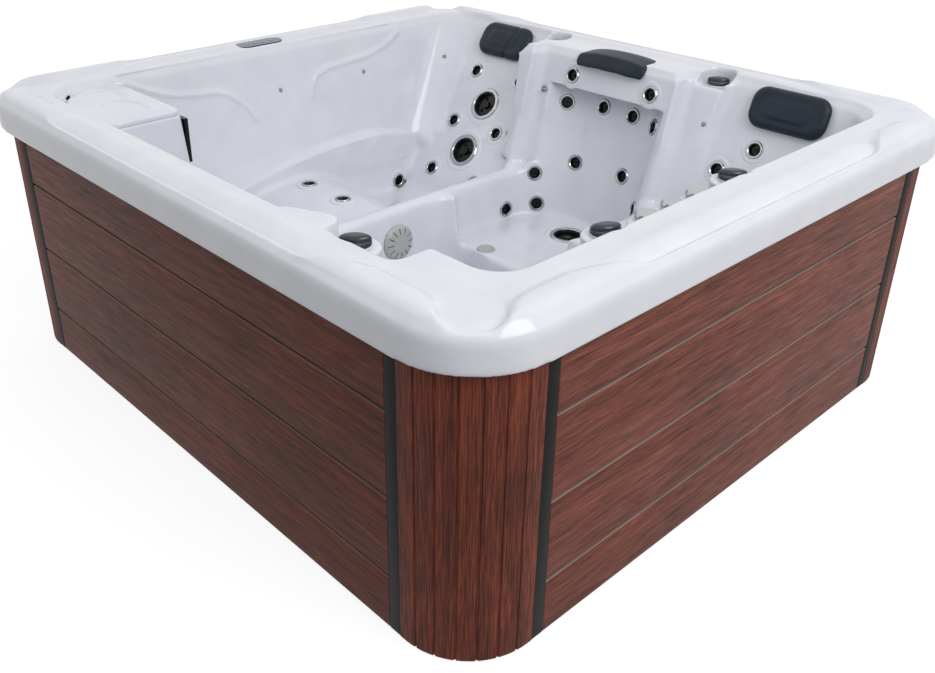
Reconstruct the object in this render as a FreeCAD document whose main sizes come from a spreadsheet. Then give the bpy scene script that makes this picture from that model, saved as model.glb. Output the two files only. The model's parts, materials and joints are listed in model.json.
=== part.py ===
import FreeCAD, Part
import Sketcher
import math
import os
import re
from types import SimpleNamespace

from FreeCAD import Rotation, Vector

# Hot tub for six: moulded acrylic shell in a boarded cabinet.
# Origin at the bottom centre, X along the long side, Y along the short side, Z up, millimetres.

doc = FreeCAD.newDocument("HotTub")

# Driving dimensions
sizes = {
    "tub_length": 2200,
    "tub_width": 2000,
    "tub_height": 850,
    "shell_wall": 8,
    "running_gap": 0.3,
    "cut_overrun": 20,
    # rim and lip
    "lip_depth": 110,
    "lip_overhang": 28,
    "lip_corner_radius": 205,
    "rim_roll_radius": 30,
    "rim_roll_width": 34,
    "rim_pad_width": 112,
    "rim_pad_length": 300,
    "rim_pocket_width": 150,
    "ledge_drop": 18,
    "opening_edge_drop": 22,
    "opening_flare": 20,
    "rim_left": 173,
    "rim_right": 195,
    "rim_front": 162,
    "rim_lounger": 108,
    "rim_corner_seat": 128,
    "opening_corner_radius": 130,
    # seats and footwell
    "seat_height": 400,
    "lounger_seat_height": 205,
    "lounger_knee_height": 372,
    "lounger_foot_height": 255,
    "lounger_width": 470,
    "lounger_armrest": 6,
    "lounger_seat_reach": 580,
    "divider_width": 60,
    "ridge_reach": 308,
    "ridge_width": 108,
    "collar_reach": 250,
    "collar_depth": 82,
    "collar_height": 100,
    "centre_seat_height": 222,
    "centre_seat_width": 590,
    "centre_seat_front": 235,
    "centre_back_radius": 200,
    "step_reach": 175,
    "step_width": 110,
    "corner_seat_height": 360,
    "side_seat_height": 330,
    "side_seat_length": 600,
    "cool_seat_height": 385,
    "cool_seat_width": 460,
    "cool_seat_depth": 230,
    "footwell_height": 100,
    "footwell_length": 670,
    "footwell_width": 735,
    "footwell_radius": 90,
    "seat_radius": 70,
    # blocks that stand out of the front wall beside the first knob
    "rest_depth": 66,
    "rest_length": 152,
    "rest_clearance": 74,
    "corner_rest_depth": 105,
    "corner_rest_reach": 144,
    "corner_rest_radius": 84,
    # filter compartment, its two tops measured down from the rim
    "filter_block_length": 397,
    "filter_block_width": 238,
    "filter_block_top": 55,
    "filter_well_depth": 470,
    "filter_well_margin": 34,
    "filter_lid_thickness": 14,
    "filter_lid_gap": 3,
    "filter_diameter": 130,
    "filter_length": 330,
    "filter_bore": 46,
    "skimmer_width": 290,
    "skimmer_height": 110,
    "skimmer_top": 91,
    "skimmer_frame_width": 14,
    "skimmer_frame_depth": 12,
    "weir_thickness": 6,
    "weir_gap": 3,
    "weir_pin_radius": 2.5,
    # cabinet
    "board_thickness": 18,
    "board_pitch": 215.5,
    "board_gap": 6,
    "board_foot_gap": 4,
    "first_seam_height": 154,
    "board_end": 240,
    "strip_width": 35,
    "corner_panel_radius": 190,
    "corner_panel_thickness": 14,
    "corner_groove": 3,
    "rail_size": 40,
    "pan_thickness": 20,
    # jets
    "small_jet_radius": 29,
    "small_jet_bore": 20,
    "large_jet_radius": 65,
    "large_jet_bore": 50,
    "jet_flange": 5,
    "jet_body_length": 46,
    "large_jet_body_length": 62,
    "jet_nozzle_radius": 8,
    "jet_column": 117,
    "led_radius": 6,
    "led_length": 22,
    # controls
    "knob_radius": 36,
    "knob_height": 22,
    "knob_lever": 34,
    "valve_radius": 31,
    "valve_stem_radius": 12,
    "valve_depth": 70,
    "knob_shelf_radius": 58,
    "knob_shelf_drop": 30,
    "knob_shelf_depth": 170,
    "knob_shelf_foot": 30,
    "air_shelf_drop": 66,
    "air_shelf_reach": 92,
    "knob_recess_radius": 52,
    "knob_recess_depth": 40,
    "knob_recess_reach": 125,
    "air_knob_radius": 34,
    "air_knob_height": 14,
    "air_knob_pitch": 103,
    "air_valve_radius": 17,
    "panel_length": 184,
    "panel_width": 70,
    "panel_height": 12,
    "panel_tray_depth": 8,
    "panel_reach": 93,
    "button_radius": 8,
    "button_height": 2,
    "button_travel": 0.8,
    "button_pitch": 34,
    # pillows
    "pillow_length": 250,
    "corner_pillow_length": 266,
    "pillow_height": 135,
    "pillow_thickness": 38,
    "saddle_length": 290,
    "saddle_top": 105,
    "saddle_drop": 26,
    "pillow_pin_radius": 7,
    # equipment
    "pump_motor_radius": 82,
    "pump_motor_length": 230,
    "pump_wall": 4,
    "pump_axis_height": 125,
    "pump_end_radius": 98,
    "pump_end_length": 76,
    "pump_shaft_radius": 9,
    "impeller_radius": 62,
    "impeller_thickness": 26,
    "pipe_radius": 31,
    "pipe_wall": 3,
    "pipe_bend": 70,
    "heater_radius": 38,
    "heater_length": 380,
    "control_box_length": 420,
    "control_box_width": 170,
    "control_box_height": 266,
    "control_box_shift": 100,
    "suction_radius": 62,
    "suction_height": 20,
    "drain_radius": 24,
    "ozonator_length": 150,
}

sheet = doc.addObject("Spreadsheet::Sheet", "Sizes")
for row, (alias, value) in enumerate(sizes.items(), start=1):
    sheet.set(f"A{row}", alias)
    sheet.set(f"B{row}", str(value))
    sheet.setAlias(f"B{row}", alias)
doc.recompute()

S = SimpleNamespace(**{alias: float(sheet.get(alias)) for alias in sizes})

# Slopes of the walls, as run over rise
WALL_SHARE = 0.25
LEFT_WALL_SHARE = 0.30
LOUNGER_BACK_SHARE = 0.70
CORNER_BACK_SHARE = 0.40
STEP_SHARE = 0.35
FOOTWELL_SHARE = 0.08
COOL_SEAT_SHARES = (0.85, 0.55)
SHELF_FOOT_SHARE = 0.55
SEAT_JET_SHARE = 0.432
SUCTION_PLACE_SHARES = (0.355, 0.60)
ALMOND_SHARE = 0.94
MOTOR_CORE_SHARE = 0.55

# Levels and edges that many pieces share
half_length = S.tub_length / 2
half_width = S.tub_width / 2
lip_bottom = S.tub_height - S.lip_depth
ledge_level = S.tub_height - S.ledge_drop
edge_level = ledge_level - S.opening_edge_drop
block_top = S.tub_height - S.filter_block_top
skimmer_top = S.tub_height - S.skimmer_top
cabinet_x = half_length - S.lip_overhang
cabinet_y = half_width - S.lip_overhang
inside_x = cabinet_x - S.board_thickness
inside_y = cabinet_y - S.board_thickness
open_left = -half_length + S.rim_left
open_right = half_length - S.rim_right
open_front = -half_width + S.rim_front
above = S.tub_height + S.cut_overrun

# Places along X and Y of the seats, from the left wall inwards
trough_left = open_left + LEFT_WALL_SHARE * (edge_level - S.seat_height) + S.lounger_armrest
trough_right = trough_left + S.lounger_width
footwell_left = trough_right + S.divider_width
footwell_right = footwell_left + S.footwell_length
footwell_back = S.centre_seat_front + S.cut_overrun
footwell_front = S.centre_seat_front - S.footwell_width
centre_left = footwell_left - S.cut_overrun
centre_right = centre_left + S.centre_seat_width
centre_x = (centre_left + centre_right) / 2
ridge_x = centre_left - S.divider_width * 2
collar_left = ridge_x + S.ridge_width
corner_left = centre_right + S.step_width
main_y = half_width - S.ridge_reach
collar_y = half_width - S.collar_reach
centre_y = collar_y + S.collar_depth
step_y = half_width - S.step_reach
lounger_y = half_width - S.rim_lounger
corner_y = half_width - S.rim_corner_seat
first_knob_x = half_length * 0.513
rest_y = open_front + S.corner_rest_depth
rest_x = first_knob_x + S.corner_rest_reach
lounger_back_y = lounger_y - LOUNGER_BACK_SHARE * (edge_level - S.seat_height)
lounger_bend_z = S.lounger_seat_height + S.shell_wall * 4
lounger_seat_y = lounger_y - LOUNGER_BACK_SHARE * (edge_level - lounger_bend_z)
block_right = -half_length + S.rim_left + S.filter_block_length
block_back = open_front + S.filter_block_width


def formula(text):
    """A formula in the sheet's words, as an expression."""
    return re.sub(r"[a-z]+_[a-z_0-9]+", lambda word: "Sizes." + word.group(), text)


def bind(obj, label=None, x=None, y=None, z=None, **rest):
    """Tie an object's properties and its place to the sheet."""
    for axis, text in (("x", x), ("y", y), ("z", z)):
        if text is not None:
            obj.setExpression("Placement.Base." + axis, formula(text))
    for name, text in rest.items():
        obj.setExpression(name, formula(text))
    if label:
        obj.Label = label
    return obj


def box(name, x, y, z, dx, dy, dz):
    return bind(doc.addObject("Part::Box", name), None, x, y, z, Length=dx, Width=dy, Height=dz)


def group(label, members):
    """Several like solids that share one node."""
    obj = doc.addObject("Part::Compound", label)
    obj.Links = members
    obj.Label = label
    return obj


def feature(label, shape):
    obj = doc.addObject("Part::Feature", label)
    obj.Shape = shape
    obj.Label = label
    return obj


nodes = []


def keep(obj):
    nodes.append(obj)
    return obj


# Outlines and solids that the moulded pieces are made of

def rounded_wire(x0, x1, y0, y1, z, radius):
    """A rounded rectangle at height z, with one radius or one for each corner from the front right on."""
    radii = radius if isinstance(radius, tuple) else (radius,) * 4
    arcs = []
    for r, sx, sy in zip(radii, (1, 1, -1, -1), (-1, 1, 1, -1)):
        cx = x1 - r if sx > 0 else x0 + r
        cy = y1 - r if sy > 0 else y0 + r
        turn = r * math.sqrt(0.5)
        first = Vector(cx, cy + sy * r, z) if sx * sy < 0 else Vector(cx + sx * r, cy, z)
        last = Vector(cx + sx * r, cy, z) if sx * sy < 0 else Vector(cx, cy + sy * r, z)
        middle = Vector(cx + sx * turn, cy + sy * turn, z)
        arcs.append((first, middle, last))
    edges = []
    for here, there in zip(arcs, arcs[1:] + arcs[:1]):
        edges.append(Part.Arc(*here).toShape())
        edges.append(Part.makeLine(here[2], there[0]))
    return Part.Wire(edges)


def pocket(x0, x1, y0, y1, low, top, radius, slopes, grow, level=None, ceiling=None):
    """A tapered pocket: its edges are given at level, and each wall leans by its slope.

    Grown by the wall's thickness on its sides and floor it is the outside of the same wall.
    """
    level = top if level is None else level
    ceiling = top if ceiling is None else ceiling
    low = low - grow
    radii = radius if isinstance(radius, tuple) else (radius,) * 4
    wires = []
    for z in (low, ceiling):
        rise = level - z
        left, right, front, back = (slope * rise for slope in slopes)
        wires.append(rounded_wire(x0 + left - grow, x1 - right + grow, y0 + front - grow, y1 - back + grow,
                                  z, tuple(r + grow for r in radii)))
    return Part.makeLoft(wires, True, True)


# Where the lounger's floor bends, as shares of the seat's reach: seat, thigh, knee, calf
trough_shares = (0.14, 0.36, 0.82, 0.90, 0.98, 1.35)


def lounger_trough(grow):
    """The lying trough: back, seat, knee and foot as one profile, drawn along X."""
    back_y, seat_y = lounger_back_y, lounger_seat_y
    top = S.seat_height + S.cut_overrun
    back_grow = grow * math.sqrt(1 + LOUNGER_BACK_SHARE ** 2)
    front_y = block_back + S.filter_well_margin / 2
    heights = [S.lounger_seat_height, S.lounger_seat_height + 2 * S.shell_wall,
               S.lounger_knee_height - S.shell_wall / 4, S.lounger_knee_height, S.lounger_knee_height - S.shell_wall / 4,
               S.lounger_foot_height + S.divider_width]
    floor_points = [Vector(0, seat_y + back_grow, lounger_bend_z)]
    for share, height in zip(trough_shares, heights):
        floor_points.append(Vector(0, seat_y - S.lounger_seat_reach * share, height - grow))
    floor_points.append(Vector(0, front_y + S.divider_width, S.lounger_foot_height - grow))
    floor_points.append(Vector(0, front_y - grow, S.lounger_foot_height + S.divider_width / 2 - grow))
    curve = Part.BSplineCurve()
    curve.interpolate(floor_points)
    top_back = Vector(0, back_y + LOUNGER_BACK_SHARE * S.cut_overrun + back_grow, top)
    top_front = Vector(0, front_y - grow, top)
    wire = Part.Wire([
        curve.toShape(),
        Part.makeLine(floor_points[-1], top_front),
        Part.makeLine(top_front, top_back),
        Part.makeLine(top_back, floor_points[0]),
    ])
    solid = Part.Face(wire).extrude(Vector(S.lounger_width + 2 * grow, 0, 0))
    solid.translate(Vector(trough_left - grow, 0, 0))
    return solid


def bathing_space(grow, ceiling):
    """The hollow of the shell, seat by seat, or with grow the outside of its wall."""
    wall = WALL_SHARE
    r, seat, tight, bowl = S.opening_corner_radius, S.seat_radius, S.seat_radius / 2, S.centre_back_radius
    seat_top = S.seat_height + S.cut_overrun
    # the openings in the rim, with the radii of their corners
    openings = [
        (open_left, open_right, rest_y, main_y, (S.corner_rest_radius, r, r, r)),
        (open_left, rest_x, open_front, 0, (tight, tight, r, r)),
        (open_left, ridge_x, 0, lounger_y, (r, tight, r, r)),
        (corner_left, open_right, 0, corner_y, (r, r, tight, r)),
        (collar_left, centre_right, 0, collar_y, (tight,) * 4),
        (centre_right - S.cut_overrun, centre_right + S.step_width * 3, 0, step_y, (tight,) * 4),
    ]
    floors = [S.seat_height, S.seat_height, S.seat_height, S.corner_seat_height, S.seat_height, S.seat_height]
    slopes = [
        (LEFT_WALL_SHARE, wall, wall, wall),
        (LEFT_WALL_SHARE, wall / 2, wall, 0),
        (LEFT_WALL_SHARE, -wall / 2, 0, LOUNGER_BACK_SHARE),
        (-wall / 2, wall, 0, CORNER_BACK_SHARE),
        (0, 0, 0, wall),
        (0, wall, 0, STEP_SHARE),
    ]
    flare = S.opening_flare / S.opening_edge_drop
    flare_floor = edge_level - S.opening_edge_drop / 4
    pieces = []
    for (x0, x1, y0, y1, radii), floor, lean in zip(openings, floors, slopes):
        pieces.append(pocket(x0, x1, y0, y1, floor, edge_level, radii, lean, grow, edge_level, ceiling))
        pieces.append(pocket(x0, x1, y0, y1, flare_floor, edge_level, radii, (flare,) * 4, grow, edge_level,
                             ceiling))
    # centre seat, set back under its collar with a curved back
    pieces.append(pocket(centre_left, centre_right, S.centre_seat_front, centre_y, S.centre_seat_height,
                         edge_level - S.collar_height, (seat, bowl, bowl, seat), (wall / 5, wall / 5, 0, wall),
                         grow, edge_level))
    pieces.append(pocket(footwell_left, footwell_right, footwell_front, footwell_back, S.footwell_height,
                         seat_top, S.footwell_radius, (FOOTWELL_SHARE,) * 4, grow))
    # side seat and cool seat
    side_front = footwell_front + S.divider_width
    pieces.append(pocket(footwell_right + S.cut_overrun, open_right - wall * S.seat_height, side_front,
                         side_front + S.side_seat_length, S.side_seat_height, seat_top, seat,
                         (wall / 2,) * 4, grow))
    inner_share, outer_share = COOL_SEAT_SHARES
    pieces.append(pocket(footwell_right - S.cool_seat_width * inner_share,
                         footwell_right + S.cool_seat_width * outer_share,
                         footwell_front - S.cool_seat_depth, footwell_front + S.cut_overrun,
                         S.cool_seat_height, seat_top, seat, (wall / 2,) * 4, grow))
    pieces.append(lounger_trough(grow))
    return pieces


def filter_block(shrink):
    """The raised block in the corner that holds the filters, or with shrink its hollow."""
    draft = WALL_SHARE / 4
    wires = []
    for z in (S.seat_height - S.cut_overrun, block_top - shrink):
        out = draft * (block_top - z) - shrink
        wires.append(rounded_wire(-half_length, block_right + out, -half_width, block_back + out,
                                  z, S.seat_radius / 2))
    return Part.makeLoft(wires, True, True)


def rounded_slab(inset, low, top, radius):
    """A rounded slab with the lip's outline, set in by inset."""
    wire = rounded_wire(-half_length + inset, half_length - inset, -half_width + inset, half_width - inset,
                        low, radius)
    return Part.Face(wire).extrude(Vector(0, 0, top - low))


def ridge_wire(z):
    """The inner edge of the rim's roll: narrow along the sides, wide near each corner, open at the corner."""
    roll, pad, reach, mouth = S.rim_roll_width, S.rim_pad_width, S.rim_pad_length, S.rim_pocket_width
    # places beside a corner: along one side, in from that side's edge
    side = [(reach * 1.75, roll), (reach * 1.45, roll * 1.6), (reach * 1.15, pad * 0.9), (mouth * 1.6, pad),
            (mouth * 1.2, pad * 0.88), (mouth * 0.9, roll), (mouth * 0.8, -roll)]
    half = len(side)
    points = []
    for sx, sy, along_x_first in ((1, -1, True), (1, 1, False), (-1, 1, True), (-1, -1, False)):
        along_x = [Vector(sx * (half_length - a), sy * (half_width - b), z) for a, b in side]
        along_y = [Vector(sx * (half_length - b), sy * (half_width - a), z) for a, b in side]
        if along_x_first:
            points.append((along_x, along_y[::-1]))
        else:
            points.append((along_y, along_x[::-1]))
    edges = []
    last = points[-1][1][-1]
    for first, second in points:
        edges.append(Part.makeLine(last, first[0]))
        for run in (first, second):
            curve = Part.BSplineCurve()
            curve.interpolate(run)
            edges.append(curve.toShape())
        edges.append(Part.makeLine(first[half - 1], second[0]))
        last = second[-1]
    return Part.Wire(Part.sortEdges(edges)[0])


# Places of the controls in the rim: along X, along Y, and whether in a recess
knob_inset = S.knob_radius / 2
recess_y = half_width - S.knob_recess_reach
knob_places = [
    (first_knob_x, open_front + knob_inset, False),
    (open_right - knob_inset, -half_width * 0.38, False),
    (open_right - knob_inset, half_width * 0.12, False),
    (centre_right + S.step_width / 2, recess_y, True),
    (centre_left - S.divider_width, recess_y, True),
]
shelf_level = ledge_level - S.knob_shelf_drop
recess_level = ledge_level - S.knob_recess_depth
air_level = ledge_level - S.air_shelf_drop
air_x = open_right - S.air_knob_radius - 2 * S.shell_wall
air_y = (knob_places[1][1] + knob_places[2][1]) / 2 + S.knob_shelf_radius
panel_x = -half_length + S.panel_reach
panel_y = -half_width * 0.015


def front_rest(shrink):
    """The wedge that stands out of the front wall on the left of the first knob."""
    end = first_knob_x - S.rest_clearance - shrink
    start = end - S.rest_length
    deep = open_front + S.rest_depth - shrink
    corners = [Vector(start, -half_width, 0), Vector(end, -half_width, 0), Vector(end, deep, 0),
               Vector(start, deep - S.rest_depth, 0)]
    wedge = Part.Face(Part.makePolygon(corners + corners[:1])).extrude(Vector(0, 0, above))
    edges = [edge for edge in wedge.Edges if edge.BoundBox.ZLength > S.seat_height
             and (edge.CenterOfMass - Vector(end, deep, above / 2)).Length < S.shell_wall]
    return wedge.makeFillet(S.seat_radius / 2 - shrink, edges)


def knob_shelves(shrink):
    """Round corbels under the knobs, and the long one under the air knobs."""
    solids = []
    for x, y, recessed in knob_places:
        if not recessed:
            cone = Part.makeCone(S.knob_shelf_foot - shrink, S.knob_shelf_radius - shrink, S.knob_shelf_depth)
            cone.translate(Vector(x, y, shelf_level - shrink - S.knob_shelf_depth))
            solids.append(cone)
    half = S.air_knob_pitch * 1.5
    wires = []
    foot_level = air_level - shrink - S.knob_shelf_depth
    foot_reach = S.air_shelf_reach * SHELF_FOOT_SHARE
    for z, reach in ((foot_level, foot_reach), (air_level - shrink, S.air_shelf_reach)):
        wires.append(rounded_wire(open_right - reach + shrink, half_length - S.rim_roll_width * 2,
                                  air_y - half + shrink, air_y + half - shrink, z, S.air_knob_radius / 2))
    solids.append(Part.makeLoft(wires, True, True))
    return solids


def knob_recesses(grow, ceiling):
    """The round recesses round the knobs, cut into the wall or the rim, and one niche open to the step."""
    solids = []
    for x, y, recessed in knob_places:
        radius = (S.knob_recess_radius if recessed else S.knob_radius + S.shell_wall / 2) + grow
        floor = (recess_level if recessed else shelf_level) - grow
        solids.append(Part.makeCylinder(radius, ceiling - floor, Vector(x, y, floor)))
        if recessed and x > 0:
            niche = Part.makeBox(2 * radius, y - step_y + S.cut_overrun, ceiling - floor)
            niche.translate(Vector(x - radius, step_y - S.cut_overrun, floor))
            solids.append(niche)
    return solids


def filter_well(grow, ceiling):
    """The well under the lid and the skimmer's slot that leads into it."""
    m = S.filter_well_margin
    low = block_top - S.filter_well_depth
    well = pocket(open_left + m / 2, block_right - m, open_front + m, block_back - m, low, block_top,
                  S.seat_radius / 2, (0, 0, 0, 0), grow, block_top, ceiling)
    slot = Part.makeBox(S.skimmer_width + 2 * grow, S.filter_well_margin * 2, S.skimmer_height + 2 * grow)
    slot.translate(Vector(skimmer_x - S.skimmer_width / 2 - grow, block_back - m * 1.5,
                          skimmer_top - S.skimmer_height - grow))
    return well.fuse(slot)


skimmer_x = block_right - S.filter_block_length * 0.1 - S.skimmer_width / 2
well_floor = block_top - S.filter_well_depth


def tray(grow):
    """The shallow tray of the control panel in the rim."""
    r = S.panel_width / 2 + grow - S.running_gap
    gap = S.running_gap * 2 + grow
    wire = rounded_wire(panel_x - S.panel_width / 2 - gap, panel_x + S.panel_width / 2 + gap,
                        panel_y - S.panel_length / 2 - gap, panel_y + S.panel_length / 2 + gap,
                        ledge_level - S.panel_tray_depth - grow, r)
    return Part.Face(wire).extrude(Vector(0, 0, S.panel_tray_depth + grow - S.shell_wall / 2 if grow else above))


# Walls that carry jets and lights: a point on the wall from a place along it and a height
class Wall:
    def __init__(self, axis, level_place, slope, side):
        self.axis, self.level_place, self.slope, self.side = axis, level_place, slope, side

    def at(self, along, z):
        """Placement on the wall's face with Z pointing into the tub."""
        place = self.level_place - self.side * self.slope * (edge_level - z)
        if self.axis == "y":
            spot, normal = Vector(along, place, z), Vector(0, -self.side, self.slope)
        else:
            spot, normal = Vector(place, along, z), Vector(-self.side, 0, self.slope)
        return FreeCAD.Placement(spot, Rotation(Vector(0, 0, 1), normal))


lounger_back = Wall("y", lounger_y, LOUNGER_BACK_SHARE, 1)
collar = Wall("y", collar_y, WALL_SHARE, 1)
step_back = Wall("y", step_y, STEP_SHARE, 1)
corner_back = Wall("y", corner_y, CORNER_BACK_SHARE, 1)
left_wall = Wall("x", open_left, LEFT_WALL_SHARE, -1)
right_wall = Wall("x", open_right, WALL_SHARE, 1)
front_wall = Wall("y", open_front, WALL_SHARE, -1)

back_rise = edge_level - S.lounger_seat_height
lounger_x = (trough_left + trough_right) / 2


def lounger_height(share):
    return S.lounger_seat_height + back_rise * share


def flat(x, y, z):
    return FreeCAD.Placement(Vector(x, y, z), Rotation())


def corner_at(centre_x, centre_y, radius, off, slopes, z):
    """Placement on the rounded part of a wall, sunk a little: off is the way along X from its centre."""
    turn = math.asin(off / radius)
    sunk = radius + 2 * S.running_gap
    spot = Vector(centre_x + sunk * math.sin(turn), centre_y + sunk * math.cos(turn), z)
    lean = slopes[0] * abs(math.sin(turn)) + slopes[1] * math.cos(turn)
    return FreeCAD.Placement(spot, Rotation(Vector(0, 0, 1), Vector(-math.sin(turn), -math.cos(turn), lean)))


def centre_at(x, z):
    """Placement on the curved back of the centre seat."""
    rise, r = edge_level - z, S.centre_back_radius
    left = centre_left + WALL_SHARE / 5 * rise + r
    right = centre_right - WALL_SHARE / 5 * rise - r
    middle = min(max(x, left), right)
    return corner_at(middle, centre_y - WALL_SHARE * rise - r, r, x - middle, (WALL_SHARE / 5, WALL_SHARE), z)


# Jets of the lounger: column, height share of the back
lounger_shares = [(-1, 0.744), (1, 0.744), (-1, 0.451), (1, 0.451), (-1, 0.167), (1, 0.167)]
# Jets of the centre seat: share of its half width, height share above its seat
centre_shares = [(-0.65, 0.709), (-0.16, 0.72), (0.28, 0.713), (0.66, 0.705), (-0.386, 0.357), (0.332, 0.364),
                 (-0.79, 0.27), (0.705, 0.24), (-0.71, 0.078), (-0.896, 0.062)]
collar_shares = [(-0.525, 0.855), (0.62, 0.855)]
corner_shares = [(0.512, 0.578), (0.416, 0.366)]
right_shares = [(-0.30, 0.42), (-0.16, 0.42), (-0.30, 0.2), (-0.16, 0.2)]
cool_shares = [(0.475, 0.5), (0.585, 0.5)]
centre_rise = edge_level - S.centre_seat_height
seat_rise = edge_level - S.seat_height
half_seat = S.centre_seat_width / 2
small_jets = [lounger_back.at(lounger_x + column * S.jet_column, lounger_height(share))
              for column, share in lounger_shares]
small_jets += [centre_at(centre_x + share * half_seat, S.centre_seat_height + rise * centre_rise)
               for share, rise in centre_shares]
small_jets += [collar.at(centre_x + share * half_seat, S.seat_height + rise * seat_rise)
               for share, rise in collar_shares]
for wall, half, shares in ((corner_back, half_length, corner_shares), (right_wall, half_width, right_shares),
                           (front_wall, half_length, cool_shares)):
    small_jets += [wall.at(share * half, S.seat_height + rise * seat_rise) for share, rise in shares]
calf_x = lounger_x - S.jet_column / 2
calf_y = lounger_seat_y - S.lounger_seat_reach * trough_shares[3]
small_jets += [flat(calf_x + side * S.jet_column * 0.85, calf_y, S.lounger_knee_height) for side in (-1, 1)]
hip = Vector(trough_left, lounger_seat_y - S.small_jet_radius, S.lounger_seat_height + S.small_jet_radius * 1.2)
small_jets.append(FreeCAD.Placement(hip, Rotation(Vector(0, 0, 1), Vector(1, 0, 0))))
large_jets = [lounger_back.at(lounger_x, lounger_height(share)) for share in (0.583, 0.314)]
seat_jet = flat(centre_x, centre_y - S.centre_seat_width * SEAT_JET_SHARE, S.centre_seat_height)
large_jets.append(seat_jet)
light_height = S.seat_height + seat_rise * 0.69
bend_radius = S.opening_corner_radius
bend_rise = edge_level - light_height
bend_x = open_left + LEFT_WALL_SHARE * bend_rise + bend_radius
bend_y = lounger_y - LOUNGER_BACK_SHARE * bend_rise - bend_radius
lights = [left_wall.at(-half_width * 0.013, light_height),
          left_wall.at(half_width * 0.374, light_height),
          corner_at(bend_x, bend_y, bend_radius, -bend_radius * math.sqrt(0.5),
                    (LEFT_WALL_SHARE, LOUNGER_BACK_SHARE), light_height),
          centre_at(centre_x - half_seat * 0.87, light_height),
          step_back.at(centre_right + S.step_width * 0.7, light_height)]
suction_z = S.footwell_height + S.suction_radius * 3
suction_x = footwell_left + FOOTWELL_SHARE * (S.seat_height + S.cut_overrun - suction_z)
suctions = [FreeCAD.Placement(Vector(suction_x, footwell_back - S.footwell_width * share, suction_z),
                              Rotation(Vector(0, 0, 1), Vector(1, 0, FOOTWELL_SHARE))) for share in SUCTION_PLACE_SHARES]
drains = [flat(footwell_right - S.footwell_radius, footwell_front + S.footwell_radius, S.footwell_height),
          flat(centre_x - S.centre_seat_width / 5, S.centre_seat_front + S.drain_radius * 1.7,
               S.centre_seat_height)]
pillow_walls = [
    ("lounger_pillow", lounger_back, lounger_x - S.small_jet_radius, S.pillow_length, 0.90),
    ("corner_pillow", corner_back, open_right - S.corner_pillow_length, S.corner_pillow_length, 0.885),
]
pillow_pins = []
for name, wall, along, length, share in pillow_walls:
    for side in (-1, 1):
        pillow_pins.append(wall.at(along + side * length / 4, S.seat_height + seat_rise * share))


def placed(solid, places):
    copies = []
    for place in places:
        copy = solid.copy()
        copy.Placement = place
        copies.append(copy)
    return copies


def holes():
    """Every round hole through the shell's wall."""
    t = S.shell_wall
    rows = [(small_jets, S.small_jet_bore + S.jet_flange), (large_jets, S.large_jet_bore + S.jet_flange),
            (lights, S.led_radius + S.running_gap), (suctions, S.suction_radius / 2 + S.running_gap),
            (drains, S.drain_radius + S.running_gap), (pillow_pins, S.pillow_pin_radius + S.running_gap)]
    cutters = []
    for places, radius in rows:
        hole = Part.makeCylinder(radius, t * 4, Vector(0, 0, -t * 2.5))
        cutters += placed(hole, places)
    # flat seats on the wall's face, and the room behind it
    for places, radius, depth in ((small_jets, S.small_jet_radius, S.jet_body_length),
                                  (large_jets, S.large_jet_radius, S.large_jet_body_length),
                                  (suctions, S.suction_radius, 0), (lights, S.led_radius * 1.3, 0)):
        depth += S.cut_overrun
        seat = Part.makeCylinder(radius + S.running_gap * 4, S.cut_overrun)
        back = Part.makeCylinder(radius + S.running_gap * 4, depth, Vector(0, 0, -t - depth))
        cutters += placed(seat, places) + placed(back, places)
    for x, y, recessed in knob_places:
        floor = recess_level if recessed else shelf_level
        cutters.append(Part.makeCylinder(S.valve_radius + S.running_gap, t * 4, Vector(x, y, floor - t * 2)))
    for index in (-1, 0, 1):
        spot = Vector(air_x, air_y + index * S.air_knob_pitch, air_level - t * 2)
        cutters.append(Part.makeCylinder(S.air_valve_radius + S.running_gap, t * 4, spot))
    return cutters


def moulded_shell():
    """The acrylic shell: rim, lip and all the walls of the hollow, one even thickness."""
    t = S.shell_wall
    outer = rounded_slab(0, lip_bottom, S.tub_height, S.lip_corner_radius)
    top_edges = [edge for edge in outer.Edges if abs(edge.BoundBox.ZMin - S.tub_height) < t / 2]
    outer = outer.makeFillet(S.rim_roll_radius, top_edges)
    hollow = rounded_slab(t, lip_bottom - S.cut_overrun, ledge_level - t, S.lip_corner_radius - t)
    ledge = Part.Face(ridge_wire(ledge_level)).extrude(Vector(0, 0, S.tub_height))
    rim = outer.cut(hollow).cut(ledge)
    middle = ledge_level - t / 2
    outside = bathing_space(t, middle)
    outside = outside[0].fuse(outside[1:]).cut([filter_block(t), front_rest(t)] + knob_shelves(t))
    outside = outside.fuse(knob_recesses(t, middle) + [filter_well(t, block_top - t / 2), tray(t)])
    inside = bathing_space(0, above)
    inside = inside[0].fuse(inside[1:]).cut([filter_block(0), front_rest(0)] + knob_shelves(0))
    inside = inside.fuse(knob_recesses(0, above) + [filter_well(0, above), tray(0)])
    shell = rim.fuse(outside).cut(inside).cut(holes())
    return max(shell.Solids, key=lambda solid: solid.Volume)


keep(feature("acrylic_shell", moulded_shell()))

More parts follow.
